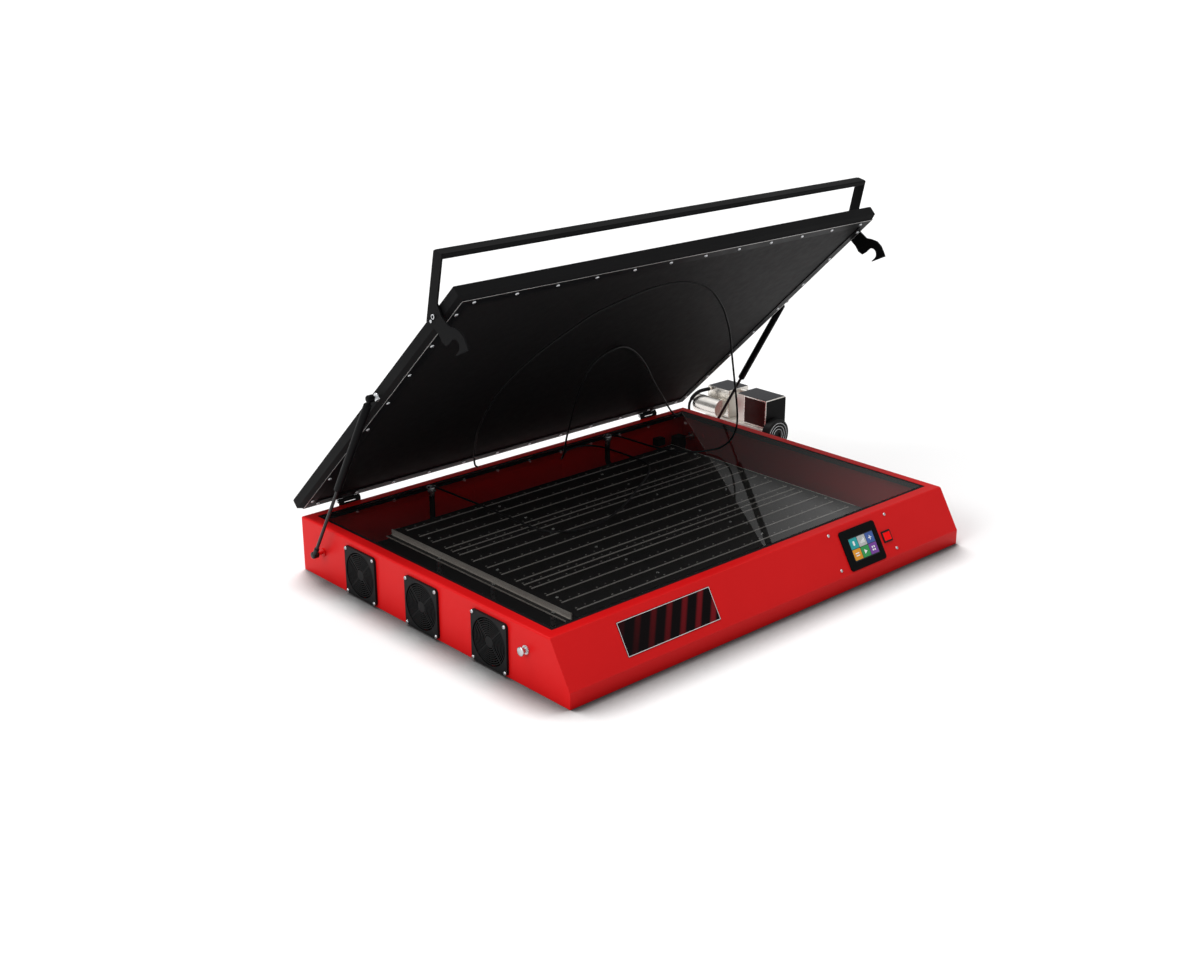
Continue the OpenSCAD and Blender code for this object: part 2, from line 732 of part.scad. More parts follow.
module lid_shell() {
  lip = chamfer_in + 2;
  flange_in = 36;
  color(black_c) on_lid() difference() {
    lid_block(0);
    intersection() {
      lid_block(lid_sheet);
      translate([-lid_w, -lid_l - 10, blanket_t + lid_sheet]) cube([2 * lid_w, lid_l + 20, lid_t]);
    }
    translate([-lid_w / 2 + lip, -lid_l + lip, -1]) cube([lid_w - 2 * lip, lid_l - 2 * lip, blanket_t + 1]);
    translate([-lid_w / 2 + flange_in, -lid_l + flange_in, -1])
      cube([lid_w - 2 * flange_in, lid_l - 2 * flange_in, 10]);
    clamp_screw_places() cylinder(r = 2, h = 10, center = true);
    for (sx = [-1, 1]) {
      translate([sx * lid_w / 2, -pivot_v, pivot_n]) rod_x(-5, 5, 4);
      translate([sx * lid_w / 2, -high_v, high_n]) rod_x(-5, 5, 4);
    }
  }
}

module rubber_blanket() {
  lip = chamfer_in + 2;
  color(rubber_c) on_lid() difference() {
    translate([-lid_w / 2 + lip, -lid_l + lip, 0]) cube([lid_w - 2 * lip, lid_l - 2 * lip, blanket_t]);
    clamp_screw_places() cylinder(r = 2, h = 10, center = true);
  }
}

module clamp_frame() {
  color(dark_c) on_lid() difference() {
    frame_ring(lid_w, -lid_l, 0, chamfer_in, chamfer_in + clamp_w, -clamp_t, 0);
    clamp_screw_places() cylinder(r = 2, h = 10, center = true);
  }
}

module clamp_screws() {
  color(steel_c) on_lid() clamp_screw_places() union() {
    translate([0, 0, -clamp_t - 2.4]) cylinder(r1 = 2.8, r2 = 4.5, h = 2.4);
    translate([0, 0, -clamp_t - 1]) cylinder(r = 1.95, h = clamp_t + blanket_t + lid_sheet + 4);
  }
}

// Places its children at the handle's pivot in the lid's frame, with x forward along the lid and
// y up through it, and z across the lid
module at_pivot() {
  on_lid() translate([0, -pivot_v, pivot_n]) rotate([90, 0, -90]) children();
}

// A point on the handle's leg: l along it from the pivot and w square to it
function leg(l, w) = [l * cos(leg_angle) - w * sin(leg_angle), l * sin(leg_angle) + w * cos(leg_angle)];

// The latch plate's outline: the leg, the pivot boss and the hook, with the notch for the pin
module latch_outline() {
  difference() {
    polygon(concat([leg(30, -4), leg(leg_l - 4, -4)],
      arc(leg(leg_l - 4, 0), 4, leg_angle - 90, leg_angle, 4),
      arc(leg(leg_l - 4, 19), 4, leg_angle, leg_angle + 90, 4),
      [leg(-20, 23), [-18, -13.5], [-14.5, -36], [-16, -51], [-11, -64], [2, -66.5], [3, -95.5], [44, -109],
       [47, -99.5], [50.5, -82], [47.5, -65], [37, -51], [26, -40], [22.5, -26], [20, -14]]));
    translate(notch) circle(r = notch_r);
    translate([-20, notch[1] - notch_r]) square([35, 2 * notch_r]);
    circle(r = 4.1);
    translate([-15, -1.4]) circle(r = 2.1);
  }
}

module latch_plate(side) {
  color(black_c) at_pivot() translate([0, 0, side < 0 ? plate_x : -plate_x - plate_t])
    linear_extrude(plate_t) latch_outline();
}

module latch_plate_left() { latch_plate(-1); }
module latch_plate_right() { latch_plate(1); }

// The handle bar: a rectangular tube between the two latch plates
module handle_bar() {
  wall = 2;
  color(black_c) at_pivot() rotate([0, 0, leg_angle]) translate([leg_l - bar_t, -4, -plate_x]) difference() {
    linear_extrude(2 * plate_x) round_rect(bar_t, bar_w, 2);
    translate([wall, wall, -1]) cube([bar_t - 2 * wall, bar_w - 2 * wall, 2 * plate_x + 2]);
  }
}

// Shoulder bolts through the plates into the lid, with a spacer behind and a socket head
module pivot_bolts() {
  color(steel_c) on_lid() for (sx = [-1, 1]) translate([0, -pivot_v, pivot_n])
    mirror([sx < 0 ? 1 : 0, 0, 0]) difference() {
      union() {
        rod_x(lid_w / 2 - 6, plate_x + plate_t + 0.4, 4);
        rod_x(lid_w / 2, plate_x - 0.3, 8);
        rod_x(plate_x + plate_t + 0.3, plate_x + plate_t + 4, 5.5);
      }
      rod_x(plate_x + plate_t + 1.5, plate_x + plate_t + 5, 2.5);
    }
}

module stop_screws() {
  color(steel_c) at_pivot() translate([-15, -1.4, 0])
    for (sx = [-1, 1]) mirror([0, 0, sx < 0 ? 1 : 0]) union() {
      translate([0, 0, plate_x]) cylinder(r = 2, h = plate_t + 1);
      translate([0, 0, plate_x + plate_t]) cylinder(r = 3.5, h = 2);
    }
}

// A ball stud on the cabinet's wall, for the strut's lower socket
module strut_base_studs() {
  color(red_c) for (sx = [-1, 1]) translate([0, low_ball[0], low_ball[1]])
    mirror([sx < 0 ? 1 : 0, 0, 0]) union() {
      rod_x(base_w / 2, base_w / 2 + 3, 10);
      rod_x(base_w / 2 - 6, strut_x, 3.9);
      translate([strut_x, 0, 0]) sphere(r = ball_r);
    }
}

// The lid's studs end just short of the upper sockets, where the linkage is open
module strut_lid_studs() {
  color(steel_c) on_lid() for (sx = [-1, 1]) translate([0, -high_v, high_n])
    mirror([sx < 0 ? 1 : 0, 0, 0]) union() {
      rod_x(lid_w / 2, lid_w / 2 + 3, 10);
      rod_x(lid_w / 2 - 6, strut_x - socket_r - 0.8, 3.9);
    }
}

// Places its children on a strut: x across, z along it from the lower ball
module on_strut(side) {
  translate([side * strut_x, low_ball[0], low_ball[1]]) rotate([strut_a - 90, 0, 0]) children();
}

// A moulded ball socket, domed outside; side is the way its blind end faces
module socket_body(side) {
  mirror([side < 0 ? 1 : 0, 0, 0]) rotate([0, 90, 0]) rotate_extrude()
    polygon(concat([[0, -8], [socket_r - 1, -8], [socket_r, -7], [socket_r, 4]],
      arc([socket_r - 4, 4], 4, 0, 90, 4), [[0, 8]]));
}

module strut_rod(side) {
  color(black_c) on_strut(side) union() {
    difference() {
      union() {
        socket_body(side);
        cylinder(r = 6, h = 22);
      }
      mirror([side < 0 ? 1 : 0, 0, 0]) rod_x(-9, 5.8, ball_r + 0.4);
    }
    translate([0, 0, 21]) cylinder(r = rod_d / 2, h = tube_start + 40);
    translate([0, 0, tube_start + 55]) cylinder(r = tube_d / 2 - 1.8, h = 8);
  }
}

module strut_rod_left() { strut_rod(-1); }
module strut_rod_right() { strut_rod(1); }

// The pressure tube with its rolled ends, the rod's guide and the upper socket
module strut_tube(side) {
  r = tube_d / 2;
  color(black_c) on_strut(side) union() {
    rotate_extrude() polygon([[rod_d / 2 + 0.1, tube_start], [r - 2.5, tube_start], [r, tube_start + 3],
      [r, strut_len - 20], [r - 3, strut_len - 16], [0, strut_len - 16], [0, strut_len - 20],
      [r - 1.5, strut_len - 20], [r - 1.5, tube_start + 14], [rod_d / 2 + 0.1, tube_start + 14]]);
    translate([0, 0, strut_len - 18]) cylinder(r = 5, h = 12);
    translate([0, 0, strut_len]) socket_body(side);
  }
}

module strut_tube_left() { strut_tube(-1); }
module strut_tube_right() { strut_tube(1); }

module pump_feet() {
  color(rubber_c) for (x = [motor_x - 32, motor_x + 32], y = motor_foot_y) translate([x, y, 0])
    cylinder(r1 = 12, r2 = 10, h = 10);
}

// The motor housing, planed flat under the heads, with a foot plate near each end
module pump_motor() {
  color(steel_c) union() {
    difference() {
      translate([motor_x, 0, motor_z]) rod_y(head_front_y, motor_end, motor_d / 2);
      translate([motor_x - motor_d, head_front_y - 1, head_z])
        cube([2 * motor_d, motor_end - head_front_y + 2, motor_d]);
    }
    for (y = motor_foot_y) translate([motor_x - 44, y - 12, 10]) cube([88, 24, 8]);
  }
}

// The fan cover: a round cap with raised rings on its face
module pump_fan_cover() {
  r = cover_r;
  color(black_c) translate([motor_x, head_front_y, motor_z]) rotate([90, 0, 0]) rotate_extrude()
    polygon(concat([[0, 0], [r, 0], [r, 19]], arc([r - 5, 19], 5, 0, 90, 4),
      [[38, 24], [38, 22], [35, 22], [35, 24], [29, 24], [29, 22], [26, 22], [26, 24],
       [20, 24], [20, 22], [17, 22], [17, 24], [9, 24], [9, 20], [0, 20]]));
}

// The two heads: cubic castings, the front one with a neck towards the rear
module pump_heads() {
  color(steel_c) for (head = [[head_front_y, head_neck], [head_rear_y, 0]])
    translate([head_x + panel_t, head[0], head_z])
      cube([head_w - panel_t, head_w + head[1], head_w - 1]);
}

// The polished plates on the heads' left sides, with their raised edges
module pump_side_panel() {
  edge = 3;
  color([0.25, 0.06, 0.06]) for (y = [head_front_y, head_rear_y])
    translate([head_x, y, head_z + 2]) difference() {
      cube([panel_t, head_w, head_w - 3]);
      translate([-1, edge, edge]) cube([2, head_w - 2 * edge, head_w - 3 - 2 * edge]);
    }
}

// Canister on the rear head's left side, the pipe between the heads and the hose barb
module pump_pipework() {
  color(steel_c) union() {
    translate([canister_at[0], 0, canister_at[1]]) rod_y(head_rear_y, 537, canister_r);
    translate([0, 490, canister_at[1]]) rod_x(790, head_x + 1, 12);
    translate([855, 0, 150]) rod_y(head_front_y + head_w + head_neck, head_rear_y, 7);
    translate([0, hose_start[1], hose_start[2]]) rod_x(hose_start[0], head_x + 1, 4);
  }
}

// A tube swept along a route: rings of n points, square to the route, closed at both ends
function route_dir(p, i) = let (a = p[max(i - 1, 0)], b = p[min(i + 1, len(p) - 1)]) (b - a) / norm(b - a);
function ring_side(d) = let (c = cross(d, abs(d[2]) > 0.9 ? [1, 0, 0] : [0, 0, 1])) c / norm(c);

// Carries the ring's start direction from one point to the next, so that the tube doesn't twist
function carried(p, i) = i == 0 ? ring_side(route_dir(p, 0))
  : let (s = carried(p, i - 1), d = route_dir(p, i), c = s - (s * d) * d) c / norm(c);

module swept_tube(p, r, n = 8) {
  points = [for (i = [0:len(p) - 1]) let (d = route_dir(p, i), s = carried(p, i), t = cross(d, s))
    for (j = [0:n - 1]) p[i] + r * (cos(360 * j / n) * s + sin(360 * j / n) * t)];
  last = (len(p) - 1) * n;
  sides = [for (i = [0:len(p) - 2], j = [0:n - 1]) let (a = i * n + j, b = i * n + (j + 1) % n)
    each [[a, b + n, b], [a, a + n, b + n]]];
  ends = [[for (j = [0:n - 1]) j], [for (j = [n - 1:-1:0]) last + j]];
  polyhedron(points, concat(sides, ends));
}

module pump_hose() { color(rubber_c) swept_tube(pump_hose_route, pump_hose_r); }
module cord_left() { color(rubber_c) swept_tube(cord_left_route, cord_r); }
module cord_right() { color(rubber_c) swept_tube(cord_right_route, cord_r); }

base_shell();
floor_pan();
glass_frame();
glass_seal();
glass_plate();
vacuum_ports();
port_nuts();
port_hoses();
hose_manifold();
hose_fitting();
led_board_rear();
led_board_middle();
led_board_front();
led_strips();
board_screws();
board_spacers();
led_rail_left();
led_rail_right();
rail_posts();
fan_guards();
guard_screws();
fan_frames();
fan_rotor_rear();
fan_rotor_middle();
fan_rotor_front();
label_plate();
screen_bezel();
screen_display();
panel_screws();
switch_frame();
switch_rocker();
power_inlet();
catch_pins();
hinge_base_leaves();
hinge_pins();
hinge_lid_leaves();
lid_shell();
rubber_blanket();
clamp_frame();
clamp_screws();
handle_bar();
latch_plate_left();
latch_plate_right();
pivot_bolts();
stop_screws();
strut_base_studs();
strut_lid_studs();
strut_rod_left();
strut_rod_right();
strut_tube_left();
strut_tube_right();
pump_feet();
pump_motor();
pump_fan_cover();
pump_heads();
pump_side_panel();
pump_pipework();
pump_hose();
cord_left();
cord_right();
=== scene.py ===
# Screen printing exposure unit: an LED light table under glass, a hinged vacuum lid and a pump.
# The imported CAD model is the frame; every piece below is built round it, in metres.
import json
import math

import bmesh
import bpy
from mathutils import Matrix, Vector


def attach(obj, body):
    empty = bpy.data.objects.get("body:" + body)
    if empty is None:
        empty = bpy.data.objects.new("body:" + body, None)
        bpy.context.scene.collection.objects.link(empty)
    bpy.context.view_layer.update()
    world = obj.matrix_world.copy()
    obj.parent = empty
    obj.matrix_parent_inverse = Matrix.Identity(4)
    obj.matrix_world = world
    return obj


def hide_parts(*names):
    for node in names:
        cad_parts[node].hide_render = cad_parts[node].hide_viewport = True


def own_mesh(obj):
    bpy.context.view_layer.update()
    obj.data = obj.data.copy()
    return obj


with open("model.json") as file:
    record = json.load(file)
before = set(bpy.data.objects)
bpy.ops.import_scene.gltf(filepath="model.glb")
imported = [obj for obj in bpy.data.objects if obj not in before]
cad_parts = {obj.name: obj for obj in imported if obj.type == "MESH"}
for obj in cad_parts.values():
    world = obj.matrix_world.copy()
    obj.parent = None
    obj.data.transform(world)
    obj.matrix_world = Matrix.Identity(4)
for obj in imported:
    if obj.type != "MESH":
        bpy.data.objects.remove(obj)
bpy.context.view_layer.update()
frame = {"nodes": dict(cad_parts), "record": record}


# Camera, floor and light: a white studio. A soft lamp overhead and another from the left light the
# cabinet, the sky fills the rest, and a contact shadow is painted into the floor's colour where
# something stands close over it.
# Polished surfaces and the glass see a bright card that ends at the right and fades to the rear.
def linear(code):
    """An sRGB hex colour as linear red, green, blue and alpha."""
    parts = [int(code[i:i + 2], 16) / 255 for i in (0, 2, 4)]
    return [c / 12.92 if c <= 0.04045 else ((c + 0.055) / 1.055) ** 2.4 for c in parts] + [1.0]


def add(tree, kind, settings, inputs):
    """Adds a node. An input is a value, or another node's output, which is linked."""
    made = tree.nodes.new(kind)
    for key, value in settings.items():
        setattr(made, key, value)
    for key, value in inputs.items():
        if isinstance(value, bpy.types.NodeSocket):
            tree.links.new(value, made.inputs[key])
        else:
            made.inputs[key].default_value = value
    return made


CAMERA_AT = (-2.452, -2.542, 1.482)
CAMERA_AIM = (0.635, 0.693, -0.342)
scene = bpy.context.scene
scene.view_settings.view_transform = "Standard"
camera_data = bpy.data.cameras.new("camera")
camera_data.lens = 46.86
camera_data.sensor_width = 36
camera = bpy.data.objects.new("camera", camera_data)
scene.collection.objects.link(camera)
camera.location = CAMERA_AT
camera.rotation_euler = Vector(CAMERA_AIM).to_track_quat("-Z", "Y").to_euler()
camera_data.clip_end = 200
scene.camera = camera

SKY_LIGHT = 0.54
SURROUND = 0.90
SURROUND_AT_Y = ((0.10, 1.0), (0.50, 0.75), (0.56, 0.75), (0.61, 0.34), (0.64, 0.18),
                 (0.72, 0.07))
CARD_EDGE, BEYOND_CARD = (2.05, 2.11), 0.35
SUNS = (("top", 0.56, 26, (0.12, -0.30, -0.95)), ("left", 0.31, 30, (0.86, -0.12, -0.50)))
world = bpy.data.worlds.new("studio")
scene.world = world
world.use_nodes = True
tree = world.node_tree
tree.nodes.clear()
ray = add(tree, "ShaderNodeLightPath", {}, {})
way = add(tree, "ShaderNodeTexCoord", {}, {})
way = add(tree, "ShaderNodeSeparateXYZ", {}, {0: way.outputs["Generated"]})
falling = add(tree, "ShaderNodeValToRGB", {}, {0: way.outputs["Y"]})
stops = falling.color_ramp.elements
for number, (depth, share) in enumerate(SURROUND_AT_Y):
    stop = stops[number] if number < 2 else stops.new(depth)
    stop.position = depth
    stop.color = (share * SURROUND,) * 3 + (1,)
overhead = add(tree, "ShaderNodeMapRange", {},
               {"Value": way.outputs["Z"], "From Min": 0.45, "From Max": 0.65, "To Min": 0.0,
                "To Max": SURROUND})
sideways = add(tree, "ShaderNodeMath", {"operation": "DIVIDE"},
               {0: way.outputs["X"], 1: way.outputs["Z"]})
card = add(tree, "ShaderNodeMapRange", {},
           {"Value": sideways.outputs[0], "From Min": CARD_EDGE[0], "From Max": CARD_EDGE[1],
            "To Min": 1.0, "To Max": BEYOND_CARD})
card = add(tree, "ShaderNodeMath", {"operation": "MULTIPLY"},
           {0: falling.outputs[0], 1: card.outputs[0]})
mirrored = add(tree, "ShaderNodeMath", {"operation": "MAXIMUM"},
               {0: card.outputs[0], 1: overhead.outputs[0]})
level = add(tree, "ShaderNodeMix", {"data_type": "FLOAT"},
            {0: ray.outputs["Is Glossy Ray"], 2: SKY_LIGHT, 3: mirrored.outputs[0]})
direct = add(tree, "ShaderNodeMath", {"operation": "MAXIMUM"},
             {0: ray.outputs["Is Camera Ray"], 1: ray.outputs["Is Transmission Ray"]})
level = add(tree, "ShaderNodeMix", {"data_type": "FLOAT"},
            {0: direct.outputs[0], 2: level.outputs[0], 3: 1.0})
sky = add(tree, "ShaderNodeBackground", {}, {"Color": (1, 1, 1, 1), "Strength": level.outputs[0]})
add(tree, "ShaderNodeOutputWorld", {}, {"Surface": sky.outputs[0]})

for name, strength, spread, direction in SUNS:
    lamp = bpy.data.lights.new(name, "SUN")
    lamp.energy = strength * math.pi
    lamp.angle = math.radians(spread)
    lamp_object = bpy.data.objects.new(name, lamp)
    scene.collection.objects.link(lamp_object)
    lamp_object.rotation_euler = Vector(direction).to_track_quat("-Z", "Y").to_euler()

FLOOR_REACH, FLOOR_Z = 60, -0.0003
CONTACT = 0.13
LEAN = (0.45, 0.8, 0.6)
CLOSE_BY, OPEN_SKY = 0.48, 0.84
floor_mesh = bpy.data.meshes.new("floor")
floor_mesh.from_pydata([(x * FLOOR_REACH, y * FLOOR_REACH, FLOOR_Z)
                        for x, y in ((-1, -1), (1, -1), (1, 1), (-1, 1))], [], [(0, 1, 2, 3)])
floor = bpy.data.objects.new("floor", floor_mesh)
scene.collection.objects.link(floor)
floor_paint = bpy.data.materials.new("white_studio_floor")
floor_paint.use_nodes = True
tree = floor_paint.node_tree
tree.nodes.clear()
# Painted contact shadow: occlusion, tilted toward the rear right, greys the floor near the object.
lean = add(tree, "ShaderNodeCombineXYZ", {}, dict(zip("XYZ", LEAN)))
near = add(tree, "ShaderNodeAmbientOcclusion", {"samples": 24},
           {"Distance": CONTACT, "Normal": lean.outputs[0]})
open_sky = add(tree, "ShaderNodeMapRange", {},
               {"Value": near.outputs["AO"], "From Min": CLOSE_BY, "From Max": OPEN_SKY,
                "To Min": 0.0, "To Max": 1.0})
floor_with_painted_shadow = add(tree, "ShaderNodeMix", {"data_type": "RGBA"},
            {0: open_sky.outputs[0], 6: linear("585858"), 7: linear("F8F8F8")})
matt = add(tree, "ShaderNodeBsdfDiffuse", {}, {"Color": floor_with_painted_shadow.outputs[2]})
add(tree, "ShaderNodeOutputMaterial", {}, {"Surface": matt.outputs[0]})
floor_mesh.materials.append(floor_paint)


# Cords and hose: thin black vacuum cords from the two ports, lying on the glass and leaning in
# loops on the lid's blanket, and the pump's hose. Extruded soft PVC, with a fine die line.
def new_material(name):
    """A material with a Principled shader: its tree, the shader and the object's coordinates."""
    made = bpy.data.materials.new(name)
    made.use_nodes = True
    tree = made.node_tree
    tree.nodes.clear()
    shader = add(tree, "ShaderNodeBsdfPrincipled", {}, {})
    add(tree, "ShaderNodeOutputMaterial", {}, {"Surface": shader.outputs[0]})
    place = add(tree, "ShaderNodeTexCoord", {}, {})
    return made, tree, shader, place.outputs["Object"]


def varied(tree, shader, place, colours, size, rough, bump=None):
    """Gives a shader a colour that drifts between two, a roughness range and a bump, from noise.
    size is the noise's grain in metres; bump is its grain in metres and its height."""
    noise = add(tree, "ShaderNodeTexNoise", {}, {"Vector": place, "Scale": 1 / size, "Detail": 4.0})
    colour = add(tree, "ShaderNodeMix", {"data_type": "RGBA"},
                 {0: noise.outputs[0], 6: linear(colours[0]), 7: linear(colours[1])})
    tree.links.new(colour.outputs[2], shader.inputs["Base Color"])
    spread = add(tree, "ShaderNodeMapRange", {},
                 {"Value": noise.outputs[0], "From Min": 0.3, "From Max": 0.7,
                  "To Min": rough[0], "To Max": rough[1]})
    tree.links.new(spread.outputs[0], shader.inputs["Roughness"])
    if bump:
        grain = add(tree, "ShaderNodeTexNoise", {},
                    {"Vector": place, "Scale": 1 / bump[0], "Detail": 2.0})
        raised = add(tree, "ShaderNodeBump", {}, {"Height": grain.outputs[0], "Distance": bump[1],
                                                  "Strength": 1.0})
        tree.links.new(raised.outputs[0], shader.inputs["Normal"])


def coated(name, colours, size, rough, bump=None, gloss=None, metal=None):
    """A finish that varied() makes alone, with the shader's specular and metallic levels."""
    made, tree, shader, place = new_material(name)
    varied(tree, shader, place, colours, size, rough, bump)
    if gloss is not None:
        shader.inputs["Specular IOR Level"].default_value = gloss
    if metal is not None:
        shader.inputs["Metallic"].default_value = metal
    return made


def shown(name, mesh, material, body, slot, *nodes):
    """Links a finished mesh as a piece that rides on a body and stands for CAD nodes."""
    piece = bpy.data.objects.new(name, mesh)
    scene.collection.objects.link(piece)
    mesh.materials.clear()
    mesh.materials.append(material)
    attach(piece, body)
    if nodes:
        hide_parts(*nodes)
    return piece


def smooth_route(points, step):
    """Points close together on a smooth curve through the given ones, in metres."""
    p = [Vector(q) / 1000 for q in points]
    p = [2 * p[0] - p[1]] + p + [2 * p[-1] - p[-2]]
    route = []
    for i in range(1, len(p) - 2):
        n = max(2, round((p[i + 1] - p[i]).length / step))
        for k in range(n):
            t = k / n
            route.append(0.5 * (2 * p[i] + (p[i + 1] - p[i - 1]) * t
                         + (2 * p[i - 1] - 5 * p[i] + 4 * p[i + 1] - p[i + 2]) * t ** 2
                         + (3 * p[i] - p[i - 1] - 3 * p[i + 1] + p[i + 2]) * t ** 3))
    return route + [p[-2]]


def tube(name, route, radii, sides=14):
    """A closed tube along a route. radii is one radius, or one for each point."""
    if not isinstance(radii, (list, tuple)):
        radii = [radii] * len(route)
    steps = [(route[min(i + 1, len(route) - 1)] - route[max(i - 1, 0)]).normalized()
             for i in range(len(route))]
    side = steps[0].orthogonal().normalized()
    verts = []
    for point, along, r in zip(route, steps, radii):
        side = (side - along * side.dot(along)).normalized()
        up = along.cross(side)
        verts += [point + r * (side * math.cos(a) + up * math.sin(a))
                  for a in (2 * math.pi * k / sides for k in range(sides))]
    faces = [(i * sides + k, i * sides + (k + 1) % sides, (i + 1) * sides + (k + 1) % sides,
              (i + 1) * sides + k) for i in range(len(route) - 1) for k in range(sides)]
    faces += [tuple(range(sides))[::-1], tuple(range(len(verts) - sides, len(verts)))]
    mesh = bpy.data.meshes.new(name)
    mesh.from_pydata(verts, [], faces)
    mesh.shade_smooth()
    mesh.set_sharp_from_angle(angle=math.radians(50))
    return mesh


cord_pvc = coated("soft_black_pvc",
                  ("060607", "0D0D0E"), 0.004, (0.45, 0.6), (0.0006, 0.00003), gloss=0.15)
HOSE = [[795.9, 523, 150], [785, 523.4, 150.2], [774, 525.5, 149.8], [762, 528.5, 148],
        [751, 531.5, 143], [742, 534.5, 136], [735.5, 537.5, 126], [731.8, 540, 115],
        [731, 541, 103], [730.5, 539.5, 91], [729.2, 535, 80], [727, 528, 71], [724.5, 519, 65],
        [721.5, 509, 61.2], [718.5, 499, 60], [714, 484.5, 60], [709, 469, 60], [702.5, 457.5, 60],
        [694.5, 449, 60], [685, 443.3, 60], [676, 440.7, 60], [667.1, 440, 60]]
CORD_RIGHT = [[305, 418.8, 139], [311, 408, 139], [317, 370, 139], [319, 325, 139],
              [321, 285, 139], [328, 242, 139], [345, 205, 139], [372, 172, 139], [402, 149, 142],
              [424, 124, 152], [434, 100, 176], [428, 76, 214], [410, 56, 252], [384, 35, 294],
              [354, 13, 341], [324, -8, 388], [276, -42, 463], [230, -75, 535], [198, -92, 580],
              [166, -106, 618], [114, -117, 666], [52, -121, 692], [-18, -123, 702],
              [-91, -123, 699], [-144, -120, 690], [-190, -112, 678], [-228, -95, 661],
              [-262, -67, 631], [-296, -28, 592], [-318, 22, 545], [-325, 78, 494],
              [-319, 138, 440], [-298, 205, 380], [-264, 276, 318], [-230, 330, 274],
              [-196, 380, 230], [-166, 424, 184], [-142, 452, 152], [-124, 466, 139]]
CORD_LEFT = [[-296, 416.8, 139], [-294, 400, 139], [-292, 322, 139], [-290, 236, 139],
             [-290, 137, 139], [-292, 56, 139], [-276, 0, 139], [-230, -32, 139], [-160, -36, 139],
             [-80, -12, 139], [0, 30, 139], [90, 84, 139], [170, 136, 139], [212, 184, 139],
             [222, 240, 139], [222, 320, 139], [216, 376, 139], [186, 408, 139], [140, 410, 139],
             [100, 386, 139], [72, 360, 142], [50, 330, 160], [30, 300, 192], [11, 271, 234],
             [-14, 226, 296], [-34, 188, 352], [-48, 158, 393], [-53, 134, 429], [-47, 113, 464],
             [-26, 101, 488], [14, 103, 498], [62, 119, 493], [116, 143, 470], [173, 172, 434],
             [240, 215, 384], [309, 264, 327], [400, 325, 257], [480, 379, 195], [534, 413, 156],
             [566, 429, 140], [592, 438, 139]]
HOSE_W, CORD_W = 0.008, 0.005
ROUTE_STEP = 0.006
for node, points, width in (("pump_hose", HOSE, HOSE_W), ("cord_right", CORD_RIGHT, CORD_W),
                            ("cord_left", CORD_LEFT, CORD_W)):
    route = smooth_route(points, ROUTE_STEP)
    cord = shown(node + "_pvc", tube(node + "_pvc", route, width / 2), cord_pvc, "base",
                 "black_rubber", node)
    if node != "pump_hose":
        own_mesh(cord)


# Cabinet: folded and welded sheet steel, 2 mm thick, in a glossy red polyester powder coat. Its
# edges keep the small radius of the press brake, and the pan closes it from below.
SHARP = math.radians(32)


def dressed(node, material, bevel=0.0):
    """A copy of a CAD node with whole faces and softened edges, which stands for the node.
    bevel is the width of the softened edge in millimetres."""
    source = frame["nodes"][node]
    work = bmesh.new()
    work.from_mesh(source.data)
    bmesh.ops.remove_doubles(work, verts=work.verts, dist=5e-6)
    bmesh.ops.dissolve_limit(work, angle_limit=math.radians(0.3), verts=work.verts,
                             edges=work.edges)
    mesh = bpy.data.meshes.new(node + "_finished")
    work.to_mesh(mesh)
    work.free()
    mesh.shade_smooth()
    mesh.set_sharp_from_angle(angle=SHARP)
    if bevel:
        carrier = bpy.data.objects.new("carrier", mesh)
        scene.collection.objects.link(carrier)
        edges = carrier.modifiers.new("edges", "BEVEL")
        edges.width = bevel / 1000
        edges.segments = 2
        edges.limit_method = "ANGLE"
        edges.angle_limit = SHARP
        edges.use_clamp_overlap = True
        edges.harden_normals = True
        graph = bpy.context.evaluated_depsgraph_get()
        mesh = bpy.data.meshes.new_from_object(carrier.evaluated_get(graph))
        mesh.name = node + "_finished"
        bpy.data.objects.remove(carrier)
    body = next(b for b, members in frame["record"]["behaviour"]["bodies"].items()
                if node in members)
    slot = next(s["material_slot"] for s in frame["record"]["subparts"] if s["node"] == node)
    return shown(node + "_finished", mesh, material, body, slot, node)


red_coat = coated("red_gloss_powder_coat",
                  ("CC1012", "D41416"), 0.12, (0.36, 0.44), (0.0022, 0.00003), gloss=0.12)
dressed("base_shell", red_coat, 0.5)
black_coat = coated("black_fine_texture_powder_coat",
                    ("0D0D0E", "131314"), 0.08, (0.5, 0.62), (0.0011, 0.00004), gloss=0.1)
dressed("floor_pan", black_coat, 0.4)


# Glass, its seal and ledge: 6 mm float glass with ground edges, lying in a black EPDM seal on a
# folded ledge under the rim. The seal is matt, the ledge has the cabinet's black primer.
DUST = 0.005
GLASS_IOR = 1.45
float_glass = bpy.data.materials.new("float_glass")
float_glass.use_nodes = True
tree = float_glass.node_tree
tree.nodes.clear()
clear = add(tree, "ShaderNodeBsdfTransparent", {}, {"Color": linear("E8E8E6")})
dust = add(tree, "ShaderNodeBsdfDiffuse", {}, {"Color": linear("F0ECEC")})
through = add(tree, "ShaderNodeMixShader", {}, {0: DUST, 1: clear.outputs[0], 2: dust.outputs[0]})
mirror = add(tree, "ShaderNodeBsdfGlossy", {}, {"Color": (1, 1, 1, 1), "Roughness": 0.01})
share = add(tree, "ShaderNodeFresnel", {}, {"IOR": GLASS_IOR})
side = add(tree, "ShaderNodeNewGeometry", {}, {})
front = add(tree, "ShaderNodeMath", {"operation": "SUBTRACT"},
            {0: 1.0, 1: side.outputs["Backfacing"]})
share = add(tree, "ShaderNodeMath", {"operation": "MULTIPLY"},
            {0: share.outputs[0], 1: front.outputs[0]})
surface = add(tree, "ShaderNodeMixShader", {}, {0: share.outputs[0], 1: through.outputs[0],
                                               2: mirror.outputs[0]})
ray = add(tree, "ShaderNodeLightPath", {}, {})
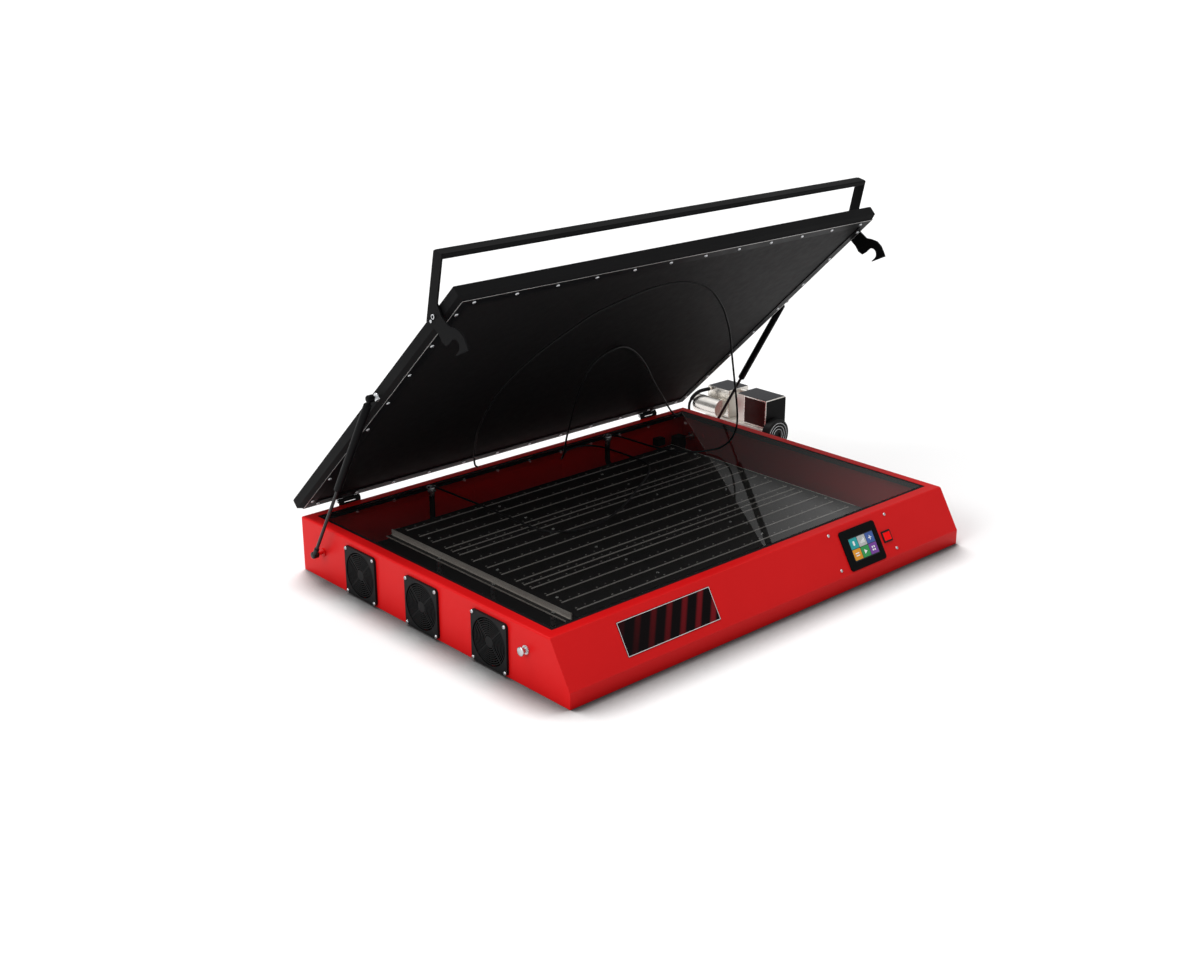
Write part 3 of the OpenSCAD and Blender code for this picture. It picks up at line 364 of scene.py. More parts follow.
open_glass = add(tree, "ShaderNodeBsdfTransparent", {}, {"Color": (1, 1, 1, 1)})
mix = add(tree, "ShaderNodeMixShader", {}, {0: ray.outputs["Is Shadow Ray"], 1: surface.outputs[0],
                                           2: open_glass.outputs[0]})
add(tree, "ShaderNodeOutputMaterial", {}, {"Surface": mix.outputs[0]})
dressed("glass_plate", float_glass, 0.6)

seal_rubber = coated("black_epdm_seal",
                     ("08080A", "0E0E10"), 0.01, (0.6, 0.75), (0.0008, 0.00004), gloss=0.12)
dressed("glass_seal", seal_rubber, 0.6)
dressed("glass_frame", black_coat, 0.3)


# Vacuum ports: turned steel flanges through the glass with hexagon nuts under it, and black
# rubber hoses that run down and along the rear wall to a manifold and the wall fitting.
bright_steel = coated("zinc_plated_steel",
                      ("B9BBBE", "D2D4D6"), 0.006, (0.22, 0.36), (0.0005, 0.00002), metal=1.0)
for node in ("vacuum_ports", "port_nuts", "hose_fitting"):
    dressed(node, bright_steel, 0.4)
dressed("port_hoses", seal_rubber)
dressed("hose_manifold", black_coat, 1.0)


# LED array: three black circuit boards on folded rails and posts, with fifteen strips that each
# carry a thin light grey edge strip along the front, and small LED packages and lenses on the
# strips. A band of painted shade runs along the middle of the rails' feet.
def slab(name, boxes):
    """A mesh of separate boxes, each as its two corners in millimetres."""
    verts, faces = [], []
    for lo, hi in boxes:
        n = len(verts)
        verts += [Vector((x, y, z)) / 1000 for z in (lo[2], hi[2]) for y in (lo[1], hi[1])
                  for x in (lo[0], hi[0])]
        faces += [[n + i for i in f] for f in ((0, 2, 3, 1), (4, 5, 7, 6), (0, 1, 5, 4),
                                               (2, 6, 7, 3), (0, 4, 6, 2), (1, 3, 7, 5))]
    mesh = bpy.data.meshes.new(name)
    mesh.from_pydata(verts, [], faces)
    return mesh


def ring_form(name, rings, sides=24):
    """A closed form round Z from rings (radius, height in mm, outline): round, hex or cross."""
    verts, faces = [], []
    for ring in rings:
        r, z = ring[0] / 1000, ring[1] / 1000
        outline = ring[2] if len(ring) > 2 else "round"
        for k in range(sides):
            a = 2 * math.pi * k / sides
            scale = 1.0
            if outline == "hex":
                scale = math.cos(math.pi / 6) / math.cos(a % (math.pi / 3) - math.pi / 6)
            elif outline == "cross":
                off = abs((a + math.pi / 4) % (math.pi / 2) - math.pi / 4)
                scale = min(1.0, 0.26 / max(math.sin(off), 1e-6))
            verts.append((r * scale * math.cos(a), r * scale * math.sin(a), z))
    for i in range(len(rings) - 1):
        faces += [(i * sides + k, i * sides + (k + 1) % sides, (i + 1) * sides + (k + 1) % sides,
                   (i + 1) * sides + k) for k in range(sides)]
    faces += [tuple(range(sides))[::-1], tuple(range(len(verts) - sides, len(verts)))]
    mesh = bpy.data.meshes.new(name)
    mesh.from_pydata(verts, [], faces)
    mesh.shade_smooth()
    mesh.set_sharp_from_angle(angle=math.radians(35))
    return mesh


placing = bpy.data.node_groups.new("placed parts", "GeometryNodeTree")
placing.interface.new_socket("Geometry", in_out="INPUT", socket_type="NodeSocketGeometry")
placing.interface.new_socket("Part", in_out="INPUT", socket_type="NodeSocketObject")
placing.interface.new_socket("Size", in_out="INPUT", socket_type="NodeSocketFloat")
placing.interface.new_socket("Finish", in_out="INPUT", socket_type="NodeSocketMaterial")
placing.interface.new_socket("Geometry", in_out="OUTPUT", socket_type="NodeSocketGeometry")
given = add(placing, "NodeGroupInput", {}, {})
facing = add(placing, "GeometryNodeInputNamedAttribute", {"data_type": "FLOAT_VECTOR"},
             {"Name": "facing"})
turn = add(placing, "FunctionNodeAlignRotationToVector", {"axis": "Z"},
           {"Vector": facing.outputs["Attribute"]})
part = add(placing, "GeometryNodeObjectInfo", {}, {"Object": given.outputs["Part"]})
copies = add(placing, "GeometryNodeInstanceOnPoints", {},
             {"Points": given.outputs["Geometry"], "Instance": part.outputs["Geometry"],
              "Rotation": turn.outputs[0], "Scale": given.outputs["Size"]})
solid = add(placing, "GeometryNodeRealizeInstances", {}, {"Geometry": copies.outputs[0]})
finish = add(placing, "GeometryNodeSetMaterial", {},
             {"Geometry": solid.outputs[0], "Material": given.outputs["Finish"]})
add(placing, "NodeGroupOutput", {}, {"Geometry": finish.outputs[0]})


def placed(name, template, places, material, size=1.0):
    """One mesh with a copy of the template at each place: a point and the way its Z axis faces."""
    points = bpy.data.meshes.new(name + "_places")
    points.from_pydata([p for p, _ in places], [], [])
    facing = points.attributes.new("facing", "FLOAT_VECTOR", "POINT")
    facing.data.foreach_set("vector", [c for _, d in places for c in d])
    carrier = bpy.data.objects.new(name + "_carrier", points)
    sample = bpy.data.objects.new(name + "_sample", template)
    for o in (carrier, sample):
        scene.collection.objects.link(o)
    modifier = carrier.modifiers.new("placed", "NODES")
    modifier.node_group = placing
    given = {"Part": sample, "Size": size, "Finish": material}
    for item in placing.interface.items_tree:
        if item.in_out == "INPUT" and item.name in given:
            modifier[item.identifier] = given[item.name]
    graph = bpy.context.evaluated_depsgraph_get()
    mesh = bpy.data.meshes.new_from_object(carrier.evaluated_get(graph))
    mesh.name = name
    for o in (carrier, sample):
        bpy.data.objects.remove(o)
    return mesh


def joined(name, meshes):
    """Several meshes as one."""
    work = bmesh.new()
    for m in meshes:
        work.from_mesh(m)
    mesh = bpy.data.meshes.new(name)
    work.to_mesh(mesh)
    work.free()
    mesh.set_sharp_from_angle(angle=math.radians(35))
    return mesh


def painted(tree, shader, mask, colour):
    """Lays a colour over a shader's own where the mask is 1."""
    under = shader.inputs["Base Color"].links[0].from_socket
    over = add(tree, "ShaderNodeMix", {"data_type": "RGBA"}, {0: mask, 6: under, 7: linear(colour)})
    tree.links.new(over.outputs[2], shader.inputs["Base Color"])


BOARD_TOP = 92.0
STRIP_FRONTS = [324, 273.3, 222.6, 171.8, 146, 120, 69, 18, -33, -84.5, -110.6, -136.5, -187,
                -237, -287]
solder_mask = coated("black_solder_mask",
                     ("070708", "0B0B0C"), 0.05, (0.4, 0.5), (0.0016, 0.00002), gloss=0.15)
for node in ("led_board_rear", "led_board_middle", "led_board_front"):
    dressed(node, solder_mask, 0.2)
STRIP_REACH, STRIP_D = 450, 11
STRIP_TOP = BOARD_TOP + 1.2
strip_bars = slab("led_strip_bars", [((-STRIP_REACH, y, BOARD_TOP),
                                      (STRIP_REACH, y + STRIP_D, STRIP_TOP))
                                     for y in STRIP_FRONTS])
shown("led_strip_bars", strip_bars, solder_mask, "base", "black_board")
# Each strip has a light grey, slightly raised strip along its front edge.
strip_edge_grey = coated("light_grey_strip_edge",
             ("B4B0AE", "CAC6C4"), 0.004, (0.4, 0.6), (0.0008, 0.00004), metal=0.2)
edges = slab("led_strip_edges", [((-STRIP_REACH - 1, y - 1.6, BOARD_TOP),
                                  (STRIP_REACH + 1, y + 1.4, BOARD_TOP + 1.5))
                                 for y in STRIP_FRONTS])
shown("led_strip_edges", edges, strip_edge_grey, "base", "led_grey", "led_strips")
package = slab("led_package", [((-1.5, -1.5, 0), (1.5, 1.5, 0.9)),
                               ((-0.9, -0.9, 0.9), (0.9, 0.9, 1.1)),
                               ((-2.6, -1.1, 0), (-1.5, 1.1, 0.3)),
                               ((1.5, -1.1, 0), (2.6, 1.1, 0.3))])
led_white = coated("white_led_package", ("8A8886", "A09E9C"), 0.001, (0.35, 0.5))
up = Vector((0, 0, 1))
LED_PITCH = 52.65
led_places = [(Vector((-447.5 + LED_PITCH * k, y + 7.5, STRIP_TOP)) / 1000, up)
              for y in STRIP_FRONTS for k in range(18)]
shown("led_packages", placed("led_packages", package, led_places, led_white), led_white, "base",
      "led_grey")
lens = ring_form("led_lens", [(1.9, 0), (1.9, 0.6), (1.6, 1.5), (1.0, 2.1), (0.3, 2.3)], 12)
led_lens = coated("clear_silicone_led_lens", ("6A6A6A", "868686"), 0.001, (0.1, 0.2))
lens_places = [(Vector((-420 + 2 * LED_PITCH * k, y + 9.5, STRIP_TOP)) / 1000, up)
               for y in STRIP_FRONTS for k in range(9)]
shown("led_lenses", placed("led_lenses", lens, lens_places, led_lens), led_lens, "base", "led_grey")

pan_head = ring_form("pan_head_screw", [(1, -0.02), (1, 0.2), (0.93, 0.42), (0.74, 0.58),
                                        (0.56, 0.63), (0.5, 0.63, "cross"),
                                        (0.42, 0.2, "cross")])
screw_points = [(x, y) for y in (250, -5, -209) for x in (-440, 457)]
screw_points += [(x, y) for y in (301, 199, 97, -56, -158, -260) for x in (-186, 161)]
shown("board_screw_heads",
      placed("board_screw_heads", pan_head, [(Vector((x, y, BOARD_TOP)) / 1000, up)
                                             for x, y in screw_points], bright_steel, 3.6),
      bright_steel, "base", "steel", "board_screws")
anodised, tree, shader, place = new_material("natural_anodised_aluminium_with_painted_shade")
varied(tree, shader, place, ("C8C2BE", "D6D0CC"), 0.03, (0.4, 0.5), (0.0009, 0.00003))
shader.inputs["Metallic"].default_value = 0.55
# Painted shade: a near-black band runs along the middle of each rail's foot.
FOOT_SHADE_AT, FOOT_SHADE_HALF = 0.4811, 0.0052
across = add(tree, "ShaderNodeSeparateXYZ", {}, {0: place})
across = add(tree, "ShaderNodeMath", {"operation": "ABSOLUTE"}, {0: across.outputs["X"]})
dark = add(tree, "ShaderNodeMath", {"operation": "COMPARE"},
           {0: across.outputs[0], 1: FOOT_SHADE_AT, 2: FOOT_SHADE_HALF})
painted(tree, shader, dark.outputs[0], "0A0A0B")
for node in ("led_rail_left", "led_rail_right"):
    dressed(node, anodised, 0.3)
for node in ("board_spacers", "rail_posts"):
    dressed(node, bright_steel, 0.25)


# Fans: three 120 mm axial fans behind moulded finger guards, held by four screws each. Glass
# filled black ABS, with a moulded matt grain; the rotors have seven swept blades on a hub.
fan_abs = coated("black_moulded_abs",
                 ("0C0C0D", "131415"), 0.02, (0.5, 0.62), (0.0007, 0.00004), gloss=0.15)
dressed("fan_guards", fan_abs, 0.7)
dressed("fan_frames", fan_abs, 0.5)
WALL_X = -642.5
GUARD_T, SCREW_OFF = 6, 52.5
FAN_Z = 62.0
FANS = (("rear", 235.0), ("middle", 3.0), ("front", -232.0))
guard_places = [(Vector((WALL_X - GUARD_T, y + sy * SCREW_OFF, FAN_Z + sz * SCREW_OFF)) / 1000,
                 Vector((-1, 0, 0))) for _, y in FANS for sy in (-1, 1) for sz in (-1, 1)]
shown("guard_screw_heads", placed("guard_screw_heads", pan_head, guard_places, bright_steel, 4.4),
      bright_steel, "base", "steel", "guard_screws")


def rotor_mesh(name, y):
    """A hub with seven twisted, swept blades, its axis along X."""
    hub = ring_form(name + "_hub", [(17, 0), (19, 1.5), (19, 18), (18.2, 18.5), (3, 18.5)], 36)
    work = bmesh.new()
    work.from_mesh(hub)
    blades, spans, chords = 7, 8, 6
    root, reach, half_depth = 18, 34.5, 8.2
    for b in range(blades):
        grid = []
        for i in range(spans + 1):
            s = i / spans
            r = root + reach * s
            pitch = math.radians(48 - 26 * s)
            chord = 22 + 10 * s
            row = []
            for j in range(chords + 1):
                c = j / chords - 0.5
                arc = c * chord * math.cos(pitch) / r + 0.28 * s * s
                lift = c * chord * math.sin(pitch) + 2.2 * (1 - 4 * c * c)
                a = 2 * math.pi * b / blades + arc
                lift = max(-half_depth, min(half_depth, lift))
                row.append((r * math.cos(a), r * math.sin(a), 9 + lift))
            grid.append(row)
        for side in (0.7, -0.7):
            rows = [[work.verts.new(Vector((x, y_, z + side)) / 1000) for x, y_, z in row]
                    for row in grid]
            for i in range(spans):
                for j in range(chords):
                    quad = [rows[i][j], rows[i + 1][j], rows[i + 1][j + 1], rows[i][j + 1]]
                    work.faces.new(quad if side > 0 else quad[::-1])
            rim = ([rows[i][0] for i in range(spans + 1)]
                   + [rows[spans][j] for j in range(1, chords + 1)]
                   + [rows[i][chords] for i in range(spans - 1, -1, -1)]
                   + [rows[0][j] for j in range(chords - 1, 0, -1)])
            if side > 0:
                top = rim
            else:
                n = len(rim)
                for k in range(n):
                    work.faces.new([rim[k], rim[(k + 1) % n], top[(k + 1) % n], top[k]])
    bmesh.ops.recalc_face_normals(work, faces=work.faces)
    mesh = bpy.data.meshes.new(name)
    work.to_mesh(mesh)
    work.free()
    at_wall = Matrix.Translation(Vector((WALL_X + 4.2, y, FAN_Z)) / 1000)
    mesh.transform(at_wall @ Matrix.Rotation(math.pi / 2, 4, "Y"))
    mesh.shade_smooth()
    mesh.set_sharp_from_angle(angle=math.radians(40))
    return mesh


for name, y in FANS:
    shown("fan_rotor_" + name + "_moulded", rotor_mesh("fan_rotor_" + name, y), fan_abs,
          "rotor_" + name, "black_plastic", "fan_rotor_" + name)


# Front panel: a plate printed with plain slanting stripes in a thin white border, a touch display
# behind a moulded bezel with plain coloured buttons on it, a red rocker switch and four screws.
SLOPE = math.atan2(100, 60)
FOOT_Y, FOOT_Z = -480, 36


def on_slope(x, t, out):
    """A point of the sloping panel in metres, from millimetres along it, up it and out of it."""
    return Vector((x, FOOT_Y + t * math.cos(SLOPE) - out * math.sin(SLOPE),
                   FOOT_Z + t * math.sin(SLOPE) + out * math.cos(SLOPE))) / 1000


slope_frame = Matrix.Translation(on_slope(0, 0, 0)) @ Matrix.Rotation(SLOPE, 4, "X")
slope_out = Vector((0, -math.sin(SLOPE), math.cos(SLOPE)))


def plate_mesh(name, outline, z0, z1, matrix, bevel=0.0):
    """A flat plate with the outline, a list of points in millimetres, placed by the matrix."""
    work = bmesh.new()
    low = work.faces.new([work.verts.new((x / 1000, y / 1000, z0 / 1000)) for x, y in outline])
    grown = bmesh.ops.extrude_face_region(work, geom=[low])
    moved = [v for v in grown["geom"] if isinstance(v, bmesh.types.BMVert)]
    bmesh.ops.translate(work, verts=moved, vec=(0, 0, (z1 - z0) / 1000))
    bmesh.ops.recalc_face_normals(work, faces=work.faces)
    if bevel:
        rim = [e for e in work.edges if e.calc_face_angle(0) > 0.6]
        bmesh.ops.bevel(work, geom=rim, offset=bevel / 1000, segments=2, affect="EDGES",
                        clamp_overlap=True)
    mesh = bpy.data.meshes.new(name)
    work.to_mesh(mesh)
    work.free()
    mesh.transform(matrix)
    mesh.shade_smooth()
    mesh.set_sharp_from_angle(angle=math.radians(35))
    return mesh


def rounded(x, y, w, h, r, n=4):
    """The outline of a rectangle with rounded corners."""
    corners = ((x + w - r, y + r, -90), (x + w - r, y + h - r, 0), (x + r, y + h - r, 90),
               (x + r, y + r, 180))
    turns = [(cx, cy, math.radians(a0 + 90 * k / n)) for cx, cy, a0 in corners
             for k in range(n + 1)]
    return [(cx + r * math.cos(a), cy + r * math.sin(a)) for cx, cy, a in turns]


STRIPE = 0.046
STRIPE_LEAN = (1, 0, -0.7)
FADED_X, FULL_X = -0.45, -0.22
printed_plate, tree, shader, place = new_material("printed_black_polycarbonate_plate")
varied(tree, shader, place, ("050304", "0C0507"), 0.09, (0.3, 0.38))
shader.inputs["Specular IOR Level"].default_value = 0.05
across = add(tree, "ShaderNodeVectorMath", {"operation": "DOT_PRODUCT"},
             {0: place, 1: STRIPE_LEAN})
turn = add(tree, "ShaderNodeMath", {"operation": "MULTIPLY"},
           {0: across.outputs["Value"], 1: 2 * math.pi / STRIPE})
wave = add(tree, "ShaderNodeMath", {"operation": "SINE"}, {0: turn.outputs[0]})
band = add(tree, "ShaderNodeMapRange", {"interpolation_type": "SMOOTHSTEP"},
           {"Value": wave.outputs[0], "From Min": -0.1, "From Max": 1.0, "To Min": 0.0,
            "To Max": 0.8})
along = add(tree, "ShaderNodeSeparateXYZ", {}, {0: place})
fade = add(tree, "ShaderNodeMapRange", {},
           {"Value": along.outputs["X"], "From Min": FADED_X, "From Max": FULL_X, "To Min": 0.1,
            "To Max": 1.0})
band = add(tree, "ShaderNodeMath", {"operation": "MULTIPLY"},
           {0: band.outputs[0], 1: fade.outputs[0]})
painted(tree, shader, band.outputs[0], "7A141C")
dressed("label_plate", printed_plate, 0.3)
white_ink = coated("white_screen_print_ink", ("D8CFCF", "EDE6E6"), 0.01, (0.3, 0.4))
LABEL_X, LABEL_T = (-473, -201.5), (22, 96)
LINE, INK_FROM, INK_TO = 1.2, 1, 1.06
border = [((LABEL_X[0], t, INK_FROM), (LABEL_X[1], t + LINE, INK_TO))
          for t in (LABEL_T[0], LABEL_T[1] - LINE)]
border += [((x, LABEL_T[0] + LINE, INK_FROM), (x + LINE, LABEL_T[1] - LINE, INK_TO))
           for x in (LABEL_X[0], LABEL_X[1] - LINE)]
lines = slab("label_border", border)
lines.transform(slope_frame)
shown("label_border", lines, white_ink, "base", "printed_panel")

bezel_black = coated("black_moulded_bezel",
                     ("060607", "0A0A0B"), 0.02, (0.5, 0.6), (0.0007, 0.00004), gloss=0.05)
dressed("screen_bezel", bezel_black, 0.8)
screen_glass = coated("dark_display_glass", ("1C2226", "262E33"), 0.03, (0.08, 0.14))
dressed("screen_display", screen_glass, 0.3)
SCREEN_X, SCREEN_T = 258.5, 25
TILE_W, TILE_H = 28, 25.5
TILES = (("teal", "1FA3A5", 0, 1), ("grey", "B9BDBC", 1, 1), ("blue", "3F5FA8", 2, 1),
         ("orange", "E69A1C", 0, 0), ("green", "2E9B4F", 1, 0), ("purple", "7A3FA0", 2, 0))
SIGNS = {"teal": [rounded(-4, -7, 8, 14, 3)],
         "grey": [rounded(-8 + 5 * k, -7, 3, 5 + 3 * k, 0.8) for k in range(4)],
         "blue": [rounded(-7, -1.5, 14, 3, 1), rounded(-1.5, -7, 3, 14, 1)],
         "orange": [rounded(-8, 2, 16, 3, 1), rounded(-8, -5, 16, 3, 1)],
         "green": [[(-5, -7), (7.5, 0), (-5, 7)]],
         "purple": [rounded(-7, -7, 5.5, 5.5, 1), rounded(1.5, -7, 5.5, 5.5, 1),
                    rounded(-7, 1.5, 5.5, 5.5, 1), rounded(1.5, 1.5, 5.5, 5.5, 1)]}
SIGN = 0.8
sign_white, tree, shader, place = new_material("lit_white_display_signs")
varied(tree, shader, place, ("D4D8D8", "E4E8E8"), 0.01, (0.2, 0.3))
shader.inputs["Emission Color"].default_value = linear("F4F6F6")
shader.inputs["Emission Strength"].default_value = 0.1
for name, colour, column, row in TILES:
    lit, tree, shader, place = new_material("lit_" + name + "_display_tile")
    dark = "".join("%02X" % int(int(colour[i:i + 2], 16) * 0.8) for i in (0, 2, 4))
    varied(tree, shader, place, (dark, colour), 0.012, (0.15, 0.22))
    shader.inputs["Emission Color"].default_value = linear(colour)
    shader.inputs["Emission Strength"].default_value = 0.12
    x, t = SCREEN_X + (TILE_W + 1.5) * column, SCREEN_T + (TILE_H + 1.5) * row
    tile = plate_mesh("screen_tile_" + name, rounded(x, t, TILE_W, TILE_H, 1.5), 1.5, 1.6,
                      slope_frame)
    shown("screen_tile_" + name, tile, lit, "base", "printed_panel")
    signs = [plate_mesh("sign", [(x + TILE_W / 2 + a * SIGN, t + TILE_H / 2 + b * SIGN)
                                 for a, b in outline], 1.6, 1.66, slope_frame)
             for outline in SIGNS[name]]
    shown("screen_sign_" + name, joined("screen_sign_" + name, signs), sign_white, "base",
          "printed_panel")

panel_places = [(on_slope(x, t, 0), slope_out) for x in (202, 409) for t in (16.7, 102.6)]
shown("panel_screw_heads", placed("panel_screw_heads", pan_head, panel_places, bright_steel, 3.9),
      bright_steel, "base", "steel", "panel_screws")
dressed("switch_frame", fan_abs, 0.5)
switch_red, tree, shader, place = new_material("red_translucent_polycarbonate")
varied(tree, shader, place, ("F4080A", "FF0E10"), 0.01, (0.36, 0.44))
shader.inputs["Specular IOR Level"].default_value = 0.1
shader.inputs["Subsurface Weight"].default_value = 0.2
shader.inputs["Subsurface Radius"].default_value = (0.004, 0.0008, 0.0008)
dressed("switch_rocker", switch_red, 0.6)


# Power inlet, catch pins and hinges: a moulded appliance inlet in the rear wall, turned pins
# that the latch hooks close on, and two black steel hinges with their pins.
dressed("power_inlet", fan_abs, 0.4)
INLET_X, INLET_Z = 534, 58.5
blades = slab("inlet_blades", [((INLET_X + x - 1, 461.6, INLET_Z + z - 2),
                                (INLET_X + x + 1, 477.5, INLET_Z + z + 2))
                               for x, z in ((-7, -3), (0, 3), (7, -3))])
shown("inlet_blades", blades, bright_steel, "base", "steel")
dressed("catch_pins", bright_steel, 0.4)
dressed("hinge_base_leaves", black_coat, 0.4)
dressed("hinge_lid_leaves", black_coat, 0.4)
dressed("hinge_pins", bright_steel, 0.3)
HINGE_X = 505
lips = slab("hinge_leaf_lips", [((x - 16, 480, 133), (x + 16, 481.9, 138.6))
                                for x in (-HINGE_X, HINGE_X)])
shown("hinge_leaf_lips", lips, black_coat, "base", "black_powder_coat")


# Lid: a folded steel tray with chamfered edges in black satin powder coat, a rubber blanket over
# its open side and a clamp frame of dark anodised flat bars, with forty countersunk screws. Light
# grey strips along the frame's outer edges are a painted highlight of those edges.
lid_coat = coated("black_satin_powder_coat",
                  ("0A0A0B", "0F0F10"), 0.15, (0.45, 0.58), (0.0016, 0.00003), gloss=0.06)
dressed("lid_shell", lid_coat, 0.6)
blanket_rubber = coated("black_natural_rubber_blanket",
                        ("060506", "090809"), 0.02, (0.6, 0.66), (0.003, 0.00001), gloss=0.15)
blanket = dressed("rubber_blanket", blanket_rubber, 0.3)
clamp_metal = coated("dark_anodised_aluminium",
                     ("0C0C0D", "131315"), 0.05, (0.4, 0.5),
                     (0.0008, 0.00003), gloss=0.06, metal=0.1)
dressed("clamp_frame", clamp_metal, 0.4)

# Painted highlight: light grey strips along the clamp frame's outer edges.
clamp_edge_highlight = coated("clamp_edge_painted_highlight",
                       ("A8A6A4", "C0BEBC"), 0.08, (0.3, 0.4), (0.0008, 0.00002), metal=0.3)
LID_OPEN = math.radians(43.75)
HINGE_Y, HINGE_Z = 486.5, 143
BEHIND, BELOW = 4.4, 3.3


def on_lid(u, v, n):
    """A point of the open lid in metres, from millimetres across it, along it and up from it."""
    c, s = math.cos(LID_OPEN), math.sin(LID_OPEN)
    v, n = v + BEHIND, n + BELOW
    return Vector((u, HINGE_Y - v * c + n * s, HINGE_Z + v * s + n * c)) / 1000


lid_frame = Matrix.Translation(on_lid(0, 0, 0)) @ Matrix.Rotation(-LID_OPEN, 4, "X")
CLAMP_X, CLAMP_V, CLAMP_FACE = 638.5, (8.5, 898.5), -2.5
EDGE_W, EDGE_FACE = 1.8, CLAMP_FACE - 0.12
highlight_edges = slab("clamp_frame_edges",
                  [((x, -CLAMP_V[1], EDGE_FACE), (x + EDGE_W, -CLAMP_V[0], CLAMP_FACE))
                   for x in (-CLAMP_X, CLAMP_X - EDGE_W)]
                  + [((EDGE_W - CLAMP_X, -CLAMP_V[1], EDGE_FACE),
                      (CLAMP_X - EDGE_W, EDGE_W - CLAMP_V[1], CLAMP_FACE))])
highlight_edges.transform(lid_frame)
shown("clamp_frame_edges", highlight_edges, clamp_edge_highlight, "lid", "black_powder_coat")
lid_under = -Vector((0, math.sin(LID_OPEN), math.cos(LID_OPEN)))
countersunk = ring_form("countersunk_screw", [(1, -0.02), (1, 0.12), (0.9, 0.3), (0.72, 0.5),
                                              (0.55, 0.55), (0.48, 0.55, "cross"),
                                              (0.4, 0.2, "cross")])
clamp_places = [(on_lid(-602 + 109.45 * i, v, CLAMP_FACE), lid_under)
                for i in range(12) for v in (20, 886)]
clamp_places += [(on_lid(sx * 626.5, v, CLAMP_FACE), lid_under) for sx in (-1, 1)
                 for v in (43, 156, 271, 387, 502, 617, 732, 848)]
shown("clamp_screw_heads",
      placed("clamp_screw_heads", countersunk, clamp_places, bright_steel, 4.4), bright_steel,
      "lid", "steel", "clamp_screws")


# Handle and latches: a rectangular steel tube between two laser-cut plates, which swing on
# shoulder bolts whose hexagon sockets are painted on the heads as dark discs of shade. Everything
# but the bolts is powder coated black.
dressed("handle_bar", lid_coat, 0.5)
for node in ("latch_plate_left", "latch_plate_right"):
    dressed(node, lid_coat, 0.5)
socket_steel, tree, shader, place = new_material("zinc_plated_steel_with_painted_socket_shade")
varied(tree, shader, place, ("B9BBBE", "D2D4D6"), 0.006, (0.22, 0.36), (0.0005, 0.00002))
shader.inputs["Metallic"].default_value = 1.0
# Painted shade: a dark disc on each bolt head stands for its shadowed hexagon socket.
PIVOT = on_lid(0, 818.2, 18.5)
SOCKET_SHADE_FROM, SOCKET_SHADE_TO = 0.0032, 0.0036
from_axis = add(tree, "ShaderNodeVectorMath", {"operation": "MULTIPLY"}, {0: place, 1: (0, 1, 1)})
from_axis = add(tree, "ShaderNodeVectorMath", {"operation": "DISTANCE"},
                {0: from_axis.outputs[0], 1: PIVOT})
socket = add(tree, "ShaderNodeMapRange", {},
             {"Value": from_axis.outputs["Value"], "From Min": SOCKET_SHADE_FROM, "From Max": SOCKET_SHADE_TO,
              "To Min": 1.0, "To Max": 0.0})
painted(tree, shader, socket.outputs[0], "0A0A0B")
dressed("pivot_bolts", socket_steel, 0.4)
dressed("stop_screws", bright_steel, 0.3)


# Gas struts: black lacquered pressure tubes over nitrided black rods, with moulded ball sockets.
# The lower studs are painted with the cabinet, the upper ones are chromed.
strut_lacquer = coated("black_strut_lacquer",
                       ("08080A", "0D0D0E"), 0.04, (0.34, 0.44), (0.0016, 0.00001), gloss=0.05)
nitrided = coated("black_nitrided_steel", ("0C0C0D", "121213"), 0.02, (0.26, 0.34), gloss=0.3)
chrome = coated("hard_chrome", ("C8CACC", "DADCDE"), 0.02, (0.06, 0.12), metal=1.0)
for side in ("left", "right"):
    dressed("strut_tube_" + side, strut_lacquer, 0.5)
    dressed("strut_rod_" + side, nitrided, 0.4)
dressed("strut_base_studs", red_coat, 0.3)
dressed("strut_lid_studs", chrome, 0.3)


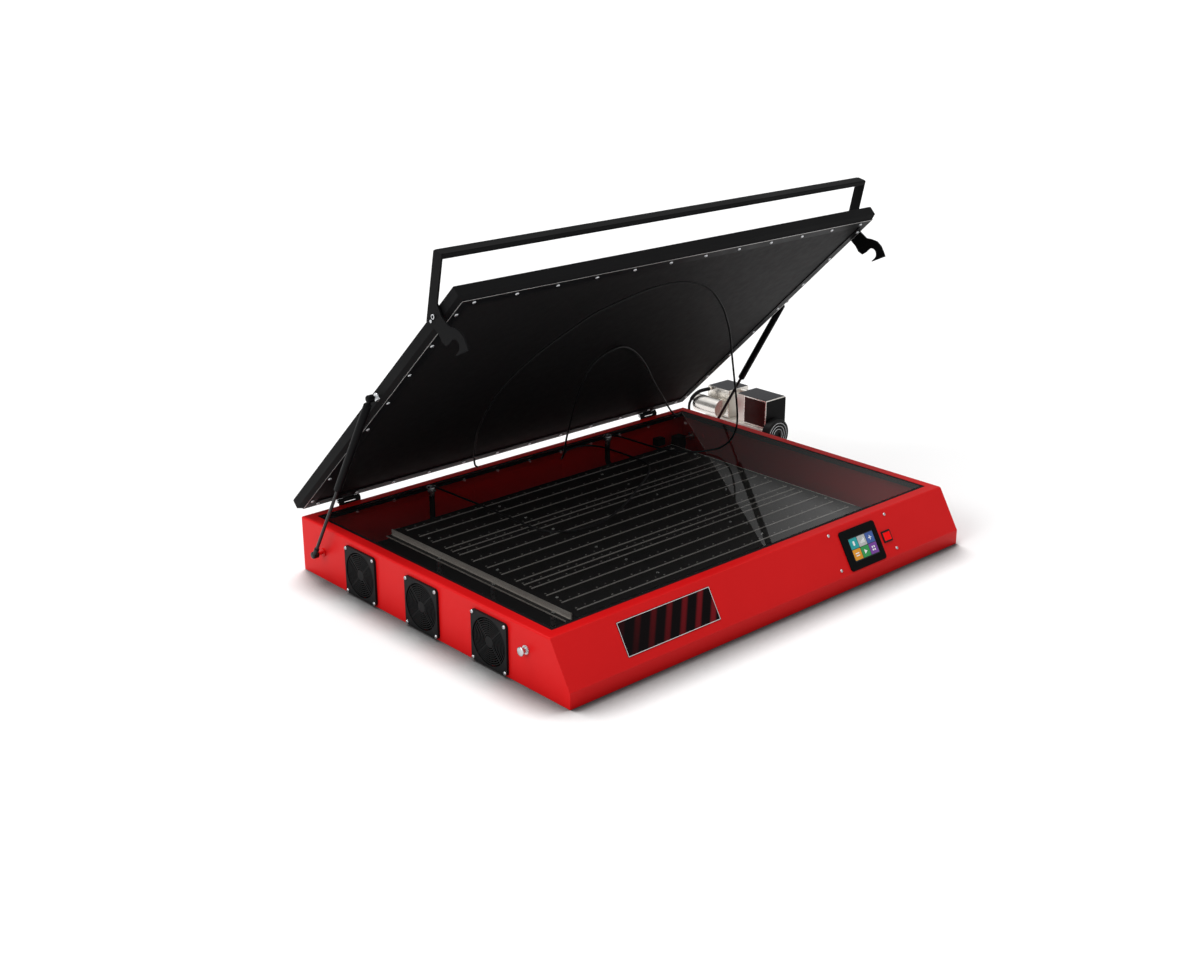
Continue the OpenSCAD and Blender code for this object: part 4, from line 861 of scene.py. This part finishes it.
# Vacuum pump: a motor under two machined cubic heads with dark cover plates, polished side plates,
# a canister and pipes of polished steel, and a ribbed black fan cover, on rubber feet.
cast_silver = coated("machined_cast_aluminium",
                     ("DCD8D2", "ECE8E2"), 0.01, (0.42, 0.52), (0.0012, 0.00003), metal=1.0)
dressed("pump_feet", seal_rubber, 1.0)
dressed("pump_motor", cast_silver, 0.8)
dressed("pump_fan_cover", fan_abs, 0.5)
dressed("pump_heads", cast_silver, 1.2)
HEAD_X, HEAD_TOP, HEAD_W = 803, 159, 82
HEADS = ((301, 115), (446, 85))
plate_paint = coated("dark_grey_cover_plate_paint",
                     ("343436", "3C3C3E"), 0.02, (0.5, 0.6), (0.0009, 0.00003), gloss=0.15)
COVER_IN, COVER_T = 2.5, 0.8
tops = slab("pump_cover_plates",
            [((HEAD_X, y + COVER_IN, HEAD_TOP),
              (HEAD_X + HEAD_W - COVER_IN, y + d - COVER_IN, HEAD_TOP + COVER_T))
             for y, d in HEADS])
shown("pump_cover_plates", tops, plate_paint, "base", "black_plastic")
front = slab("pump_front_plate", [((HEAD_X, 300.2, 77),
                                   (HEAD_X + HEAD_W, 301, HEAD_TOP - COVER_IN))])
shown("pump_front_plate", front, lid_coat, "base", "black_plastic")
turns = [(math.cos(math.pi * k / 24), math.sin(math.pi * k / 24)) for k in range(49)]
COWL_X, COWL_Y, COWL_Z = 831, 278.2, 56
rings = [tube("ring", [Vector((COWL_X + r * c, COWL_Y, COWL_Z + r * s)) / 1000 for c, s in turns],
              0.0009, 6) for r in (10, 18.5, 27.5, 36.5)]
shown("fan_cover_rings", joined("fan_cover_rings", rings), bright_steel, "base", "steel")
SLEEVE_POINTS, SLEEVE_R = 7, 0.0055
sleeve = tube("pump_hose_sleeve", smooth_route(HOSE[:SLEEVE_POINTS], ROUTE_STEP), SLEEVE_R)
shown("pump_hose_sleeve", sleeve, seal_rubber, "base", "black_rubber")
polished = coated("polished_stainless_steel", ("D8D4CE", "E8E4DE"), 0.02, (0.2, 0.28), metal=1.0)
dressed("pump_side_panel", polished, 0.6)
dressed("pump_pipework", polished, 0.8)
# Painted reflection: the head's polished side shows the red cabinet as a flat dark red panel.
red_reflection_paint = coated("polished_panel_painted_red_reflection", ("300C0B", "380F0E"), 0.03, (0.2, 0.28), gloss=0.1)
inlay = slab("pump_red_panel", [((800.4, 304.2, 80.2), (801, 382.8, 155.8))])
shown("pump_red_panel", inlay, red_reflection_paint, "base", "polished_plate")
